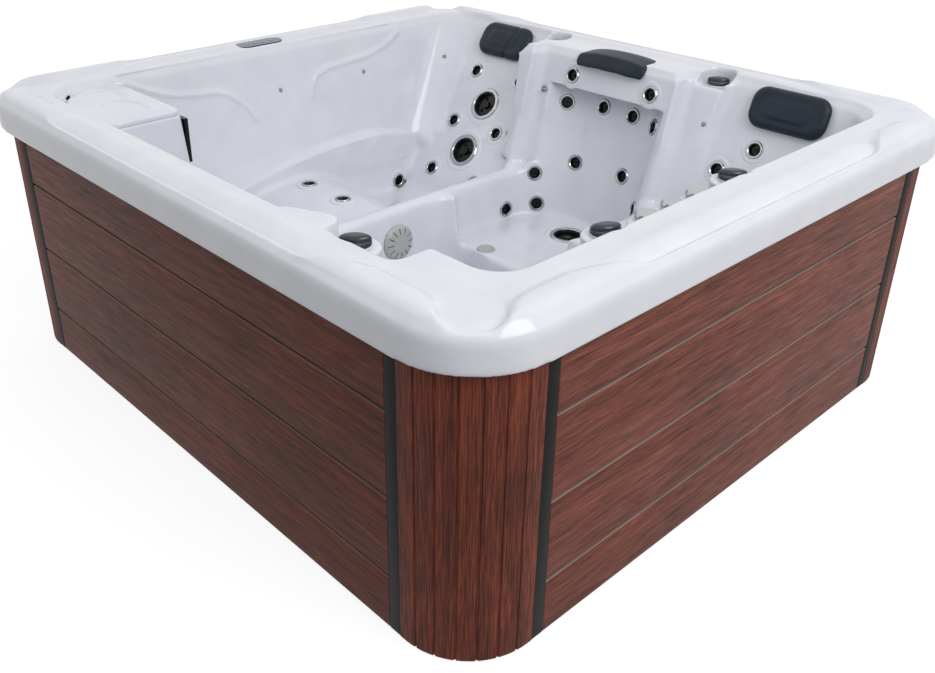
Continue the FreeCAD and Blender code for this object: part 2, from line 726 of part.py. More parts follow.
# Cabinet: pan, frame, boards, corner panels and strips
pan = doc.addObject("PartDesign::Body", "base_pan")
outline = pan.newObject("Sketcher::SketchObject", "PanOutline")
plane = [item for item in pan.Origin.OriginFeatures if item.Role == "XY_Plane"][0]
outline.AttachmentSupport = [(plane, "")]
outline.MapMode = "FlatFace"
corners = [Vector(-inside_x, -inside_y), Vector(inside_x, -inside_y), Vector(inside_x, inside_y),
           Vector(-inside_x, inside_y)]
for here, there in zip(corners, corners[1:] + corners[:1]):
    outline.addGeometry(Part.LineSegment(here, there))
for index in range(4):
    outline.addConstraint(Sketcher.Constraint("Coincident", index, 2, (index + 1) % 4, 1))
outline.addConstraint(Sketcher.Constraint("Horizontal", 0))
outline.addConstraint(Sketcher.Constraint("Vertical", 1))
outline.addConstraint(Sketcher.Constraint("Horizontal", 2))
outline.addConstraint(Sketcher.Constraint("Vertical", 3))
outline.addConstraint(Sketcher.Constraint("Symmetric", 0, 1, 1, 2, -1, 1))
length_rule = outline.addConstraint(Sketcher.Constraint("DistanceX", 0, 1, 0, 2, 2 * inside_x))
width_rule = outline.addConstraint(Sketcher.Constraint("DistanceY", 1, 1, 1, 2, 2 * inside_y))
PAN_LENGTH = "tub_length - 2 * lip_overhang - 2 * board_thickness"
PAN_WIDTH = "tub_width - 2 * lip_overhang - 2 * board_thickness"
outline.setExpression(f"Constraints[{length_rule}]", formula(PAN_LENGTH))
outline.setExpression(f"Constraints[{width_rule}]", formula(PAN_WIDTH))
slab = pan.newObject("PartDesign::Pad", "PanSlab")
slab.Profile = outline
bind(slab, Length="pan_thickness")
doc.recompute()
rounding = pan.newObject("PartDesign::Fillet", "PanCorners")
upright = [f"Edge{index}" for index, edge in enumerate(slab.Shape.Edges, start=1)
           if edge.BoundBox.ZLength > S.pan_thickness / 2]
rounding.Base = (slab, upright)
bind(rounding, Radius="corner_panel_radius - corner_panel_thickness")
pan.Label = "base_pan"
keep(pan)

HALF_X = "(tub_length / 2 - lip_overhang)"
HALF_Y = "(tub_width / 2 - lip_overhang)"
RAIL_TOP = "(tub_height - ledge_drop - shell_wall)"
BOARD_TOP = f"({RAIL_TOP} - board_gap)"


def notched(rail, name, solids):
    """A rail cut away round the hollows of the shell that hang beside it."""
    tool = feature(f"{name}_notch", Part.makeCompound(solids))
    cut = doc.addObject("Part::Cut", f"{name}_rail_notched")
    cut.Base = rail
    cut.Tool = tool
    return cut


def frame():
    """Posts on the pan, rails on the posts, all in square section."""
    posts, tops, bottoms = [], [], []
    for face, along, across in (("front", "X", -1), ("back", "X", 1), ("left", "Y", -1), ("right", "Y", 1)):
        reach = f"({HALF_X} - board_end)" if along == "X" else f"({HALF_Y} - board_end)"
        depth = HALF_Y if along == "X" else HALF_X
        inner = f"({depth} - board_thickness - rail_size)"
        side = f"-{inner} - rail_size" if across < 0 else inner
        for rails, z in ((tops, f"{RAIL_TOP} - rail_size"), (bottoms, "pan_thickness")):
            start, run = f"-{reach}", f"2 * {reach}"
            name = f"{face}_rail_{len(rails)}"
            if along == "X":
                rails.append(box(name, start, side, z, run, "rail_size", "rail_size"))
            else:
                rails.append(box(name, side, start, z, "rail_size", run, "rail_size"))
        for index in range(4):
            place = f"-{reach} + {index} / 3 * (2 * {reach} - rail_size)"
            height = f"{RAIL_TOP} - 2 * rail_size - pan_thickness"
            name = f"{face}_post_{index}"
            z = "pan_thickness + rail_size"
            if along == "X":
                posts.append(box(name, place, side, z, "rail_size", "rail_size", height))
            else:
                posts.append(box(name, side, place, z, "rail_size", "rail_size", height))
    tops[1] = notched(tops[1], "back", knob_recesses(S.shell_wall + S.board_gap / 2, ledge_level)[-3:])
    tops[2] = notched(tops[2], "left", [tray(S.shell_wall + S.board_gap / 2)])
    keep(group("frame_posts", posts))
    keep(group("top_rails", tops))
    keep(group("bottom_rails", bottoms))


def boards():
    """Four boards on each side, one above the other with a narrow seam, and the top one behind the lip."""
    for face, along, across in (("front", "X", -1), ("back", "X", 1), ("left", "Y", -1), ("right", "Y", 1)):
        reach = f"({HALF_X} - board_end)" if along == "X" else f"({HALF_Y} - board_end)"
        depth = HALF_Y if along == "X" else HALF_X
        side = f"-{depth}" if across < 0 else f"{depth} - board_thickness"
        members = []
        for index in range(4):
            seam = f"(first_seam_height + {index - 1} * board_pitch)"
            low = "board_foot_gap" if index == 0 else f"{seam} + board_gap / 2"
            high = BOARD_TOP if index == 3 else f"({seam} + board_pitch - board_gap / 2)"
            height = f"{high} - ({low})"
            name = f"{face}_board_{index + 1}"
            if along == "X":
                members.append(box(name, f"-{reach}", side, low, f"2 * {reach}", "board_thickness", height))
            else:
                members.append(box(name, side, f"-{reach}", low, "board_thickness", f"2 * {reach}", height))
        keep(group(f"{face}_boards", members))


def corner_panels():
    """Quarter-round panels of seven slats, with a groove between each two."""
    r, t = S.corner_panel_radius, S.corner_panel_thickness
    low, high = S.board_foot_gap, ledge_level - S.shell_wall - S.board_gap
    straight = S.board_end - S.strip_width - S.running_gap * 2 - r
    slats = 7
    pitch = (2 * straight + r * math.pi / 2) / slats
    for name, sx, sy in (("front_right", 1, -1), ("front_left", -1, -1),
                         ("back_right", 1, 1), ("back_left", -1, 1)):
        outer = Part.Face(rounded_wire(-cabinet_x, cabinet_x, -cabinet_y, cabinet_y, low, r))
        inner = Part.Face(rounded_wire(-cabinet_x + t, cabinet_x - t, -cabinet_y + t, cabinet_y - t, low, r - t))
        ring = outer.cut(inner).extrude(Vector(0, 0, high - low))
        reach = straight + r
        corner = Part.makeBox(reach, reach, high, Vector(0, 0, 0))
        corner_x = cabinet_x - reach if sx > 0 else -cabinet_x
        corner_y_low = cabinet_y - reach if sy > 0 else -cabinet_y
        corner.translate(Vector(corner_x, corner_y_low, 0))
        panel = ring.common(corner)
        centre = Vector(sx * (cabinet_x - r), sy * (cabinet_y - r), 0)
        grooves = []
        for index in range(1, slats):
            angle = (index * pitch - straight) / r
            spot = centre + Vector(sx * r * math.sin(angle), sy * r * math.cos(angle), 0)
            grooves.append(Part.makeCylinder(S.corner_groove, high, spot))
        keep(feature(f"{name}_corner", panel.cut(grooves)))


def corner_strips():
    strips = []
    width, gap = "strip_width", "running_gap"
    for face, along, across in (("front", "X", -1), ("back", "X", 1), ("left", "Y", -1), ("right", "Y", 1)):
        reach = f"({HALF_X} - board_end)" if along == "X" else f"({HALF_Y} - board_end)"
        depth = HALF_Y if along == "X" else HALF_X
        side = f"-{depth}" if across < 0 else f"{depth} - board_thickness"
        for end in (-1, 1):
            start = f"-{reach} - {width} - {gap}" if end < 0 else f"{reach} + {gap}"
            name = f"{face}_strip_{'low' if end < 0 else 'high'}"
            height = f"{BOARD_TOP} - board_foot_gap"
            if along == "X":
                strips.append(box(name, start, side, "board_foot_gap", width, "board_thickness", height))
            else:
                strips.append(box(name, side, start, "board_foot_gap", "board_thickness", width, height))
    keep(group("corner_strips", strips))


def shell_supports():
    """Blocks of rigid foam on the pan, under the footwell and under the lounger."""
    grow = S.shell_wall
    rest = S.footwell_height - grow - S.pan_thickness
    side = FOOTWELL_SHARE * (S.seat_height - S.footwell_height)
    pieces = []
    for share in (0.1, 0.6):
        length = S.footwell_length * 0.3
        x = footwell_left + side + S.footwell_length * share
        block = Part.makeBox(length, S.footwell_width - 3 * S.footwell_radius, rest,
                             Vector(x, footwell_front + 2 * S.footwell_radius, S.pan_thickness))
        pieces.append(block)
    post = Part.makeBox(S.lounger_width * 0.4, S.divider_width * 2, S.lounger_foot_height,
                        Vector(trough_left + S.lounger_width / 4, open_front + S.filter_block_width, S.pan_thickness))
    pieces.append(post.cut(lounger_trough(grow)))
    keep(feature("shell_supports", Part.makeCompound(pieces)))


frame()
boards()
corner_panels()
corner_strips()
shell_supports()


# Jets

def turned(profile):
    """A solid turned about Z from a closed profile of (radius, height) points."""
    points = [Vector(radius, 0, z) for radius, z in profile]
    return Part.Face(Part.makePolygon(points + points[:1])).revolve(Vector(0, 0, 0), Vector(0, 0, 1), 360)


def jet_ring(radius, bore):
    """The polished ring on the wall and its sleeve through the wall."""
    g, f, t = S.running_gap, S.jet_flange, S.shell_wall
    return turned([(bore, g - 2 * t), (bore + f - g, g - 2 * t), (bore + f - g, g), (radius, g), (radius, g + f / 3),
                   (radius - f / 2, g + f), (bore + f / 2, g + f), (bore, g + f / 2)])


def jet_body(radius, bore, length):
    """The cup behind the wall that feeds the jet, with its clamping flange."""
    f, t, g = S.jet_flange, S.shell_wall, S.running_gap
    sleeve = bore + f
    face = -t - g
    return turned([(sleeve, face), (radius, face), (radius, face - 2 * f), (sleeve + f, face - 2 * f),
                   (sleeve + f, face - length), (0, face - length), (0, face - length + f), (sleeve, face - length + f)])


def jet_nozzle(bore, depth):
    """The black insert: a dished disc with a round nozzle standing on it."""
    f, g, n = S.jet_flange, S.running_gap, S.jet_nozzle_radius
    return turned([(n / 2, -depth), (bore - g, -depth), (bore - g, -f / 2), (bore - f / 2, -f / 2),
                   (bore - f, -depth + f), (n, -depth + f), (n, -f), (n / 2, -f)])


small_ring = jet_ring(S.small_jet_radius, S.small_jet_bore)
keep(feature("small_jet_rings", Part.makeCompound(placed(small_ring, small_jets))))
small_nozzle = jet_nozzle(S.small_jet_bore, S.shell_wall * 2)
keep(feature("small_jet_nozzles", Part.makeCompound(placed(small_nozzle, small_jets))))
small_body = jet_body(S.small_jet_radius, S.small_jet_bore, S.jet_body_length)
keep(feature("small_jet_bodies", Part.makeCompound(placed(small_body, small_jets))))
large_ring = jet_ring(S.large_jet_radius, S.large_jet_bore)
keep(feature("large_jet_rings", Part.makeCompound(placed(large_ring, large_jets))))
large_body = jet_body(S.large_jet_radius, S.large_jet_bore, S.large_jet_body_length)
keep(feature("large_jet_bodies", Part.makeCompound(placed(large_body, large_jets))))


def jet_rotor():
    """The part that spins: a dish with three slanted outlets, on a spindle that stands in the body."""
    b, f, g, n = S.large_jet_bore, S.jet_flange, S.running_gap, S.jet_nozzle_radius
    rim = b - f / 2
    dish = turned([(0, -4 * f), (rim, -4 * f), (rim, -f / 2), (rim - f / 2, -f / 2), (rim - f, -3 * f),
                   (2 * n, -3 * f), (n * 1.6, -f), (0, -f)])
    depth = S.shell_wall + S.large_jet_body_length - f
    spindle = Part.makeCylinder(n / 2, depth - 3 * f, Vector(0, 0, -depth))
    outlets = []
    for index in range(3):
        angle = index * math.tau / 3
        outlets.append(Part.makeCylinder(n * 0.9, 4 * f, Vector((rim + n) / 2 * math.cos(angle),
                                                              (rim + n) / 2 * math.sin(angle), -5 * f)))
    return dish.fuse(spindle).cut(outlets)


rotor = jet_rotor()
for name, place in zip(("upper_lounger_rotor", "lower_lounger_rotor", "seat_jet_rotor"), large_jets):
    keep(feature(name, placed(rotor, [place])[0]))

light = turned([(0, -S.led_length), (S.led_radius, -S.led_length), (S.led_radius, S.running_gap),
                (S.led_radius * 1.3, S.running_gap), (S.led_radius, S.led_radius / 3), (0, S.led_radius / 2)])
keep(feature("wall_lights", Part.makeCompound(placed(light, lights))))


def suction_cover():
    """A domed guard with radial slots, on a stub that passes the wall."""
    r, g, n = S.suction_radius, S.running_gap, S.suction_height
    dome = turned([(0, -3 * S.shell_wall), (r / 2, -3 * S.shell_wall), (r / 2, g), (r, g), (r, n / 3),
                   (r * 0.85, n * 0.8), (r / 2, n), (0, n)])
    slots = []
    for index in range(12):
        slot = Part.makeBox(r * 0.35, n / 5, n, Vector(r * 0.52, -n / 10, n / 2))
        slot.rotate(Vector(0, 0, 0), Vector(0, 0, 1), index * 30)
        slots.append(slot)
    return dome.cut(slots)


keep(feature("suction_covers", Part.makeCompound(placed(suction_cover(), suctions))))
drain_cap = turned([(0, -2 * S.shell_wall), (S.drain_radius, -2 * S.shell_wall), (S.drain_radius, S.running_gap),
                    (S.drain_radius * 1.4, S.running_gap), (S.drain_radius * 1.2, S.jet_flange), (0, S.jet_flange)])
keep(feature("drain_fittings", Part.makeCompound(placed(drain_cap, drains))))


# Filter compartment

def filter_lid():
    """The moulded lid on the block, with a skirt down into the well."""
    m, g, t = S.filter_well_margin, S.filter_lid_gap, S.filter_lid_thickness
    top = block_top
    fall = edge_level - top
    left, front = open_left + LEFT_WALL_SHARE * fall + g, open_front + WALL_SHARE * fall + g
    small = S.seat_radius / 2
    plate = rounded_wire(left, block_right - g, front, block_back - g, top,
                         (small, small, small, S.opening_corner_radius - g))
    skirt = rounded_wire(open_left + m / 2 + g, block_right - m - g, open_front + m + g, block_back - m - g,
                         top - t, S.seat_radius / 2)
    hollow = rounded_wire(open_left + m / 2 + 2 * g, block_right - m - 2 * g, open_front + m + 2 * g,
                          block_back - m - 2 * g, top - t, S.seat_radius / 2)
    lid = Part.Face(plate).extrude(Vector(0, 0, t))
    rim = Part.Face(skirt).extrude(Vector(0, 0, t)).cut(Part.Face(hollow).extrude(Vector(0, 0, t)))
    return lid.fuse(rim)


keep(feature("filter_lid", filter_lid()))

well_left = open_left + S.filter_well_margin / 2
well_right = block_right - S.filter_well_margin
well_middle_y = (open_front + block_back) / 2


def cartridge():
    """A pleated filter: end caps, a pleated sleeve and a bore."""
    r, n = S.filter_diameter / 2, S.filter_length
    pleats = 36
    points = []
    for index in range(pleats * 2):
        angle = index * math.pi / pleats
        reach = r * (0.96 if index % 2 else 0.84)
        points.append(Vector(reach * math.cos(angle), reach * math.sin(angle), 0))
    sleeve = Part.Face(Part.makePolygon(points + points[:1])).extrude(Vector(0, 0, n))
    cap = Part.makeCylinder(r, n / 20)
    far_cap = Part.makeCylinder(r, n / 20, Vector(0, 0, n * 19 / 20))
    return sleeve.fuse([cap, far_cap]).cut(Part.makeCylinder(S.filter_bore / 2, n))


quarter = (well_right - well_left) / 4
filters = [flat(x, well_middle_y, well_floor) for x in (well_left + quarter, well_right - quarter)]
keep(feature("filter_cartridges", Part.makeCompound(placed(cartridge(), filters))))

slot_low = skimmer_top - S.skimmer_height
face_y = block_back + WALL_SHARE / 4 * (block_top - slot_low + S.skimmer_frame_width * 2)


def skimmer_frame():
    """The black frame round the skimmer's mouth, with a sleeve into the slot."""
    w, d, g = S.skimmer_frame_width, S.skimmer_frame_depth, S.running_gap
    x0, z0 = skimmer_x - S.skimmer_width / 2, slot_low
    outer = Part.makeBox(S.skimmer_width + 2 * w, d, S.skimmer_height + 2 * w, Vector(x0 - w, face_y + g, z0 - w))
    sleeve = Part.makeBox(S.skimmer_width - 2 * g, S.filter_well_margin * 0.8, S.skimmer_height - 2 * g,
                          Vector(x0 + g, face_y + g + d - S.filter_well_margin * 0.8, z0 + g))
    mouth = Part.makeBox(S.skimmer_width - 2 * w / 3, S.filter_well_margin * 3, S.skimmer_height - 2 * w / 3,
                         Vector(x0 + w / 3, face_y - S.filter_well_margin * 2, z0 + w / 3))
    pivot = Part.makeCylinder(S.weir_pin_radius + g, S.skimmer_width, weir_pivot - Vector(S.skimmer_width / 2, 0, 0),
                              Vector(1, 0, 0))
    return outer.fuse(sleeve).cut(mouth).cut(pivot)


weir_pivot = Vector(skimmer_x, face_y + S.skimmer_frame_depth / 2, slot_low + S.skimmer_frame_width)


def weir_door():
    """The floating flap of the skimmer on its two pins."""
    half = S.skimmer_width / 2 - S.skimmer_frame_width / 3 - S.weir_gap
    rise = S.skimmer_height - S.skimmer_frame_width * 2 - S.weir_gap
    flap = Part.makeBox(2 * half, S.weir_thickness, rise, weir_pivot - Vector(half, S.weir_thickness / 2, 0))
    barrel = Part.makeCylinder(S.weir_thickness / 2, 2 * half, weir_pivot - Vector(half, 0, 0), Vector(1, 0, 0))
    reach = half + S.weir_gap + S.skimmer_frame_width / 6
    pin = Part.makeCylinder(S.weir_pin_radius, 2 * reach, weir_pivot - Vector(reach, 0, 0), Vector(1, 0, 0))
    return flap.fuse([barrel, pin])


keep(feature("skimmer_frame", skimmer_frame()))
keep(feature("weir_door", weir_door()))


# Controls

def diverter_knob():
    """A round cap with a raised almond for the thumb and a stem that turns in the valve."""
    r, n, g = S.knob_radius, S.knob_height, S.running_gap
    cap = turned([(0, 0), (r, 0), (r, n * 0.5), (r * 0.9, n * 0.62), (0, n * 0.62)])
    bow = r * r / S.knob_lever + S.knob_lever / 4
    off = bow - S.knob_lever / 2
    sides = [Part.makeCylinder(bow, n * 0.6, Vector(0, side * off, n * 0.4)) for side in (-1, 1)]
    lever = sides[0].common(sides[1]).common(Part.makeCylinder(r * ALMOND_SHARE, n))
    stem = Part.makeCylinder(S.valve_stem_radius - g, S.valve_depth / 2, Vector(0, 0, -S.valve_depth / 2))
    return cap.fuse([lever, stem])


def valve(radius, stem_radius, depth, cap_radius):
    """The valve under a knob: a seat ring on the shell and a barrel that hangs through it."""
    g, f = S.running_gap, S.jet_flange
    barrel = turned([(0, -depth), (radius, -depth), (radius, g), (cap_radius, g), (cap_radius, f), (stem_radius, f),
                     (stem_radius, f - depth * 0.65), (0, f - depth * 0.65)])
    return barrel


valve_cap = S.valve_radius + S.jet_flange
knob_spots = []
for x, y, recessed in knob_places:
    knob_spots.append(flat(x, y, recess_level if recessed else shelf_level))
lift = Vector(0, 0, S.jet_flange + S.running_gap)
knob = diverter_knob()
for index, spot in enumerate(knob_spots, start=1):
    raised = FreeCAD.Placement(spot.Base + lift, spot.Rotation)
    keep(feature(f"diverter_knob_{index}", placed(knob, [raised])[0]))
diverter_valve = valve(S.valve_radius, S.valve_stem_radius, S.valve_depth, valve_cap)
keep(feature("diverter_valves", Part.makeCompound(placed(diverter_valve, knob_spots))))


def air_knob():
    """A flat polished cap with finger notches."""
    r, n = S.air_knob_radius, S.air_knob_height
    cap = turned([(0, 0), (r, 0), (r, n * 0.7), (r * 0.85, n), (0, n)])
    notches = [Part.makeCylinder(r / 6, n, Vector(r * math.cos(angle), r * math.sin(angle), 0))
               for angle in (index * math.tau / 8 for index in range(8))]
    stem = Part.makeCylinder(S.valve_stem_radius / 2, S.valve_depth / 3, Vector(0, 0, -S.valve_depth / 3))
    return cap.cut(notches).fuse(stem)


air_spots = [flat(air_x, air_y + index * S.air_knob_pitch, air_level) for index in (-1, 0, 1)]
for index, spot in enumerate(air_spots, start=1):
    raised = FreeCAD.Placement(spot.Base + lift, spot.Rotation)
    keep(feature(f"air_knob_{index}", placed(air_knob(), [raised])[0]))
air_valve = valve(S.air_valve_radius, S.valve_stem_radius / 2 + S.running_gap, S.valve_depth * 0.6,
                  S.air_valve_radius + S.jet_flange)
keep(feature("air_valves", Part.makeCompound(placed(air_valve, air_spots))))

panel_floor = ledge_level - S.panel_tray_depth
panel_top = panel_floor + S.panel_height


def button_spots():
    return [Vector(panel_x, panel_y + (index - 1.5) * S.button_pitch, panel_top) for index in range(4)]


def control_panel():
    """The oval topside panel: a shallow case with four wells for its buttons."""
    wire = rounded_wire(panel_x - S.panel_width / 2, panel_x + S.panel_width / 2, panel_y - S.panel_length / 2,
                        panel_y + S.panel_length / 2, panel_floor, S.panel_width / 2 - S.running_gap)
    case = Part.Face(wire).extrude(Vector(0, 0, S.panel_height))
    wells = []
    for spot in button_spots():
        well = Vector(0, 0, S.button_height + S.button_travel * 2)
        wells.append(Part.makeCylinder(S.button_radius + S.running_gap, S.cut_overrun, spot - well))
    return case.cut(wells)


keep(feature("control_panel", control_panel()))
for index, spot in enumerate(button_spots(), start=1):
    low = Vector(0, 0, S.button_height - S.running_gap)
    button = Part.makeCylinder(S.button_radius, S.button_height + S.button_travel, spot - low)
    keep(feature(f"panel_button_{index}", button))


# Pillows

def pillow(length, height, thickness):
    """A crowned headrest with drawn-in sides: lofted sections from its back to its crown."""
    sections = [(0.90, 0.86, 0.0), (1.0, 1.0, 0.28), (0.97, 0.94, 0.62), (0.80, 0.72, 0.90), (0.52, 0.40, 1.0)]
    wires = []
    for wide, tall, rise in sections:
        half_x, half_y = length * wide / 2, height * tall / 2
        wires.append(rounded_wire(-half_x, half_x, -half_y, half_y, thickness * rise + S.running_gap,
                                  min(half_x, half_y) * 0.7))
    return Part.makeLoft(wires, True)


for name, wall, along, length, share in pillow_walls:
    z = S.seat_height + seat_rise * share
    cushion = pillow(length, S.pillow_height, S.pillow_thickness)
    pins = []
    for side in (-1, 1):
        foot = Vector(side * length / 4, 0, -S.shell_wall * 1.6)
        pins.append(Part.makeCylinder(S.pillow_pin_radius, S.shell_wall * 2, foot))
    solid = cushion.fuse(pins)
    solid.Placement = wall.at(along, z)
    keep(feature(name, solid))


def saddle_pillow():
    """The pillow that lies over the collar's edge: a top part and a front part in one bend."""
    n, gap = S.pillow_thickness, S.running_gap
    top = ledge_level + gap
    reach = S.saddle_top
    wires = []
    for share in (-1.0, -0.9, -0.6, 0, 0.6, 0.9, 1.0):
        x = centre_x + share * S.saddle_length / 2
        swell = math.sqrt(1.08 - share ** 2 * 0.75)
        h, crown = n * 0.75 * swell, n * 0.42 * swell
        low = edge_level - S.saddle_drop * (1 - 0.25 * share ** 2)
        low_y = collar_y - WALL_SHARE * (edge_level - low) - gap
        points = [Vector(x, collar_y + reach, top), Vector(x, collar_y + S.opening_flare, top),
                  Vector(x, collar_y - 2 * gap, edge_level), Vector(x, low_y, low), Vector(x, low_y - h, low),
                  Vector(x, collar_y - h, edge_level), Vector(x, collar_y - h / 3, top + crown * 0.8),
                  Vector(x, collar_y + reach * 0.6, top + crown), Vector(x, collar_y + reach, top + crown / 3)]
        wires.append(Part.makePolygon(points + points[:1]))
    return Part.makeLoft(wires, True, True)


keep(feature("centre_pillow", saddle_pillow()))


# Pumps, heater, controls and pipes under the seats
pump_x = (footwell_right + inside_x) / 2
pump_z = S.pan_thickness + S.pump_axis_height
OUTLET_SHARE = 0.98
pump_ends = [-half_width * 0.72, half_width * 0.14]


def pump_motor(y):
    """The motor's casing on its foot, open inside for the rotor."""
    r, n, wall, g = S.pump_motor_radius, S.pump_motor_length, S.pump_wall, S.running_gap
    start = Vector(pump_x, y + S.pump_end_length, pump_z)
    along = Vector(0, 1, 0)
    casing = Part.makeCylinder(r, n, start, along)
    foot = Part.makeBox(r * 1.6, n * 0.7, S.pump_axis_height - r / 2,
                        Vector(pump_x - r * 0.8, start.y + n * 0.15, S.pan_thickness))
    bore = Part.makeCylinder(r - wall * 3, n - 4 * wall, start + along * 2 * wall, along)
    shaft_hole = Part.makeCylinder(S.pump_shaft_radius + g, n - wall, start - along * wall, along)
    return casing.fuse(foot).cut(bore).cut(shaft_hole)


def pump_wet_end(y):
    """The volute in front of the motor, with its inlet and its outlet pointing up."""
    r, n, wall, g = S.pump_end_radius, S.pump_end_length, S.pump_wall, S.running_gap
    start = Vector(pump_x, y, pump_z)
    along = Vector(0, 1, 0)
    volute = Part.makeCylinder(r, n - g, start, along)
    inlet = Part.makeCylinder(S.pipe_radius + wall, r / 2, start - along * r / 2, along)
    outlet = Part.makeCylinder(S.pipe_radius + wall, r * OUTLET_SHARE, start + along * n / 2, Vector(0, 0, 1))
    outlet.translate(Vector(r - S.pipe_radius - wall * 2, 0, 0))
    foot = Part.makeBox(r, n - g, pump_z - S.pan_thickness, Vector(pump_x - r / 2, y, S.pan_thickness))
    chamber = Part.makeCylinder(r - 2 * wall, n - 3 * wall, start + along * wall, along)
    bore = Part.makeCylinder(S.pipe_radius - S.pipe_wall, r, start - along * (r - wall * 2), along)
    up = Part.makeCylinder(S.pipe_radius - S.pipe_wall, r * 2, start + along * n / 2, Vector(0, 0, 1))
    up.translate(Vector(r - S.pipe_radius - wall * 2, 0, 0))
    shaft_hole = Part.makeCylinder(S.pump_shaft_radius + g, n, start + along * wall, along)
    return volute.fuse([inlet, outlet, foot]).cut([chamber, bore, up, shaft_hole])


def pump_rotor(y):
    """Shaft, rotor core and impeller in one."""
    n, wall = S.pump_motor_length, S.pump_wall
    start = Vector(pump_x, y, pump_z)
    along = Vector(0, 1, 0)
    impeller = Part.makeCylinder(S.impeller_radius, S.impeller_thickness, start + along * (wall * 4), along)
    shaft_length = S.pump_end_length - 4 * wall + n - 3 * wall
    shaft = Part.makeCylinder(S.pump_shaft_radius, shaft_length, start + along * 4 * wall, along)
    core_start = start + along * (S.pump_end_length + n * 0.2)
    core = Part.makeCylinder(S.pump_motor_radius * MOTOR_CORE_SHARE, n * 0.6, core_start, along)
    return shaft.fuse([impeller, core])


for index, y in enumerate(pump_ends, start=1):
    keep(feature(f"pump_{index}_motor", pump_motor(y)))
    keep(feature(f"pump_{index}_wet_end", pump_wet_end(y)))
    keep(feature(f"pump_{index}_rotor", pump_rotor(y)))

outlet_x = pump_x + S.pump_end_radius - S.pipe_radius - S.pump_wall * 2
outlet_z = pump_z + S.pump_end_radius * OUTLET_SHARE


def case(name, x, y, z, length, width, height, radius):
    """A closed case with rounded upright corners."""
    body = bind(doc.addObject("Part::Box", name + "_block"), None, x, y, z,
                Length=length, Width=width, Height=height)
    doc.recompute()
    rounded = doc.addObject("Part::Fillet", name)
    rounded.Base = body
    value = S.board_thickness if radius is None else radius
    rounded.Edges = [(index, value, value) for index, edge in enumerate(body.Shape.Edges, start=1)
                     if edge.BoundBox.ZLength > body.Shape.BoundBox.ZLength * 0.9]
    rounded.Label = name
    return keep(rounded)


BOX_Y = "-(tub_width / 2 - lip_overhang - board_thickness - rail_size - board_gap)"
case("control_box", "control_box_shift - control_box_length / 2", BOX_Y, "pan_thickness", "control_box_length",
     "control_box_width", "control_box_height", None)
case("ozonator", "-tub_length / 4 - ozonator_length", BOX_Y, "pan_thickness", "ozonator_length",
     "ozonator_length / 2", "ozonator_length / 2", S.board_thickness / 2)

box_left = S.control_box_shift - S.control_box_length / 2
box_front = -(inside_y - S.rail_size - S.board_gap)
heater_y = box_front + S.control_box_width / 2
heater_z = S.pan_thickness + S.control_box_height + S.heater_radius + S.board_gap


def heater():
    """The steel heater tube with its union flanges, on two saddles on the control box."""
    r, n, g = S.heater_radius, S.heater_length, S.running_gap
    start = Vector(box_left + (S.control_box_length - n) / 2, heater_y, heater_z)
    along = Vector(1, 0, 0)
    tube = Part.makeCylinder(r, n, start, along)
    flanges = [Part.makeCylinder(r + S.board_gap - g, S.board_thickness, start, along),
               Part.makeCylinder(r + S.board_gap - g, S.board_thickness, start + along * (n - S.board_thickness), along)]
    bore = Part.makeCylinder(S.pipe_radius - S.pipe_wall, n, start, along)
    return tube.fuse(flanges).cut(bore)


keep(feature("heater", heater()))


def pipe(points):
    """A pipe along straight runs joined by tangent bends."""
    edges = []
    last = points[0]
    for before, here, after in zip(points, points[1:], points[2:]):
        back = (before - here).normalize()
        ahead = (after - here).normalize()
        half = (math.pi - back.getAngle(ahead)) / 2
        cut = S.pipe_bend * math.tan(half)
        first, end = here + back * cut, here + ahead * cut
        middle = here + (back + ahead).normalize() * (S.pipe_bend / math.cos(half) - S.pipe_bend)
        edges.append(Part.makeLine(last, first))
        edges.append(Part.Arc(first, middle, end).toShape())
        last = end
    edges.append(Part.makeLine(last, points[-1]))
    spine = Part.Wire(edges)
    direction = points[1] - points[0]
    solids = []
    for radius in (S.pipe_radius, S.pipe_radius - S.pipe_wall):
        ring = Part.Wire(Part.makeCircle(radius, points[0], direction))
        solids.append(spine.makePipeShell([ring], True, False))
    return solids[0].cut(solids[1])


gap = S.running_gap
radius = S.pipe_radius
floor_z = S.pan_thickness + radius + S.board_gap
upper_z = floor_z + 2 * radius + S.board_gap
heater_right = box_left + (S.control_box_length + S.heater_length) / 2
heater_left = heater_right - S.heater_length
back_y = inside_y - S.rail_size - S.pipe_bend + S.board_thickness
front_lane = footwell_front - 2 * radius
middle_lane = front_lane - 3 * radius
lounger_lane = footwell_left - S.suction_radius * 2 - S.pipe_bend / 2
suction_lane = lounger_lane + 2 * radius + S.board_gap
side_lane = pump_x - S.pump_end_radius - radius - S.board_gap
turn_z = outlet_z + S.pipe_bend + S.board_gap / 2


def pump_ports(y):
    """The inlet's and the outlet's mouths of a pump."""
    inlet = Vector(pump_x, y - S.pump_end_radius / 2 - gap, pump_z)
    outlet = Vector(outlet_x, y + S.pump_end_length / 2, outlet_z + gap)
    return inlet, outlet


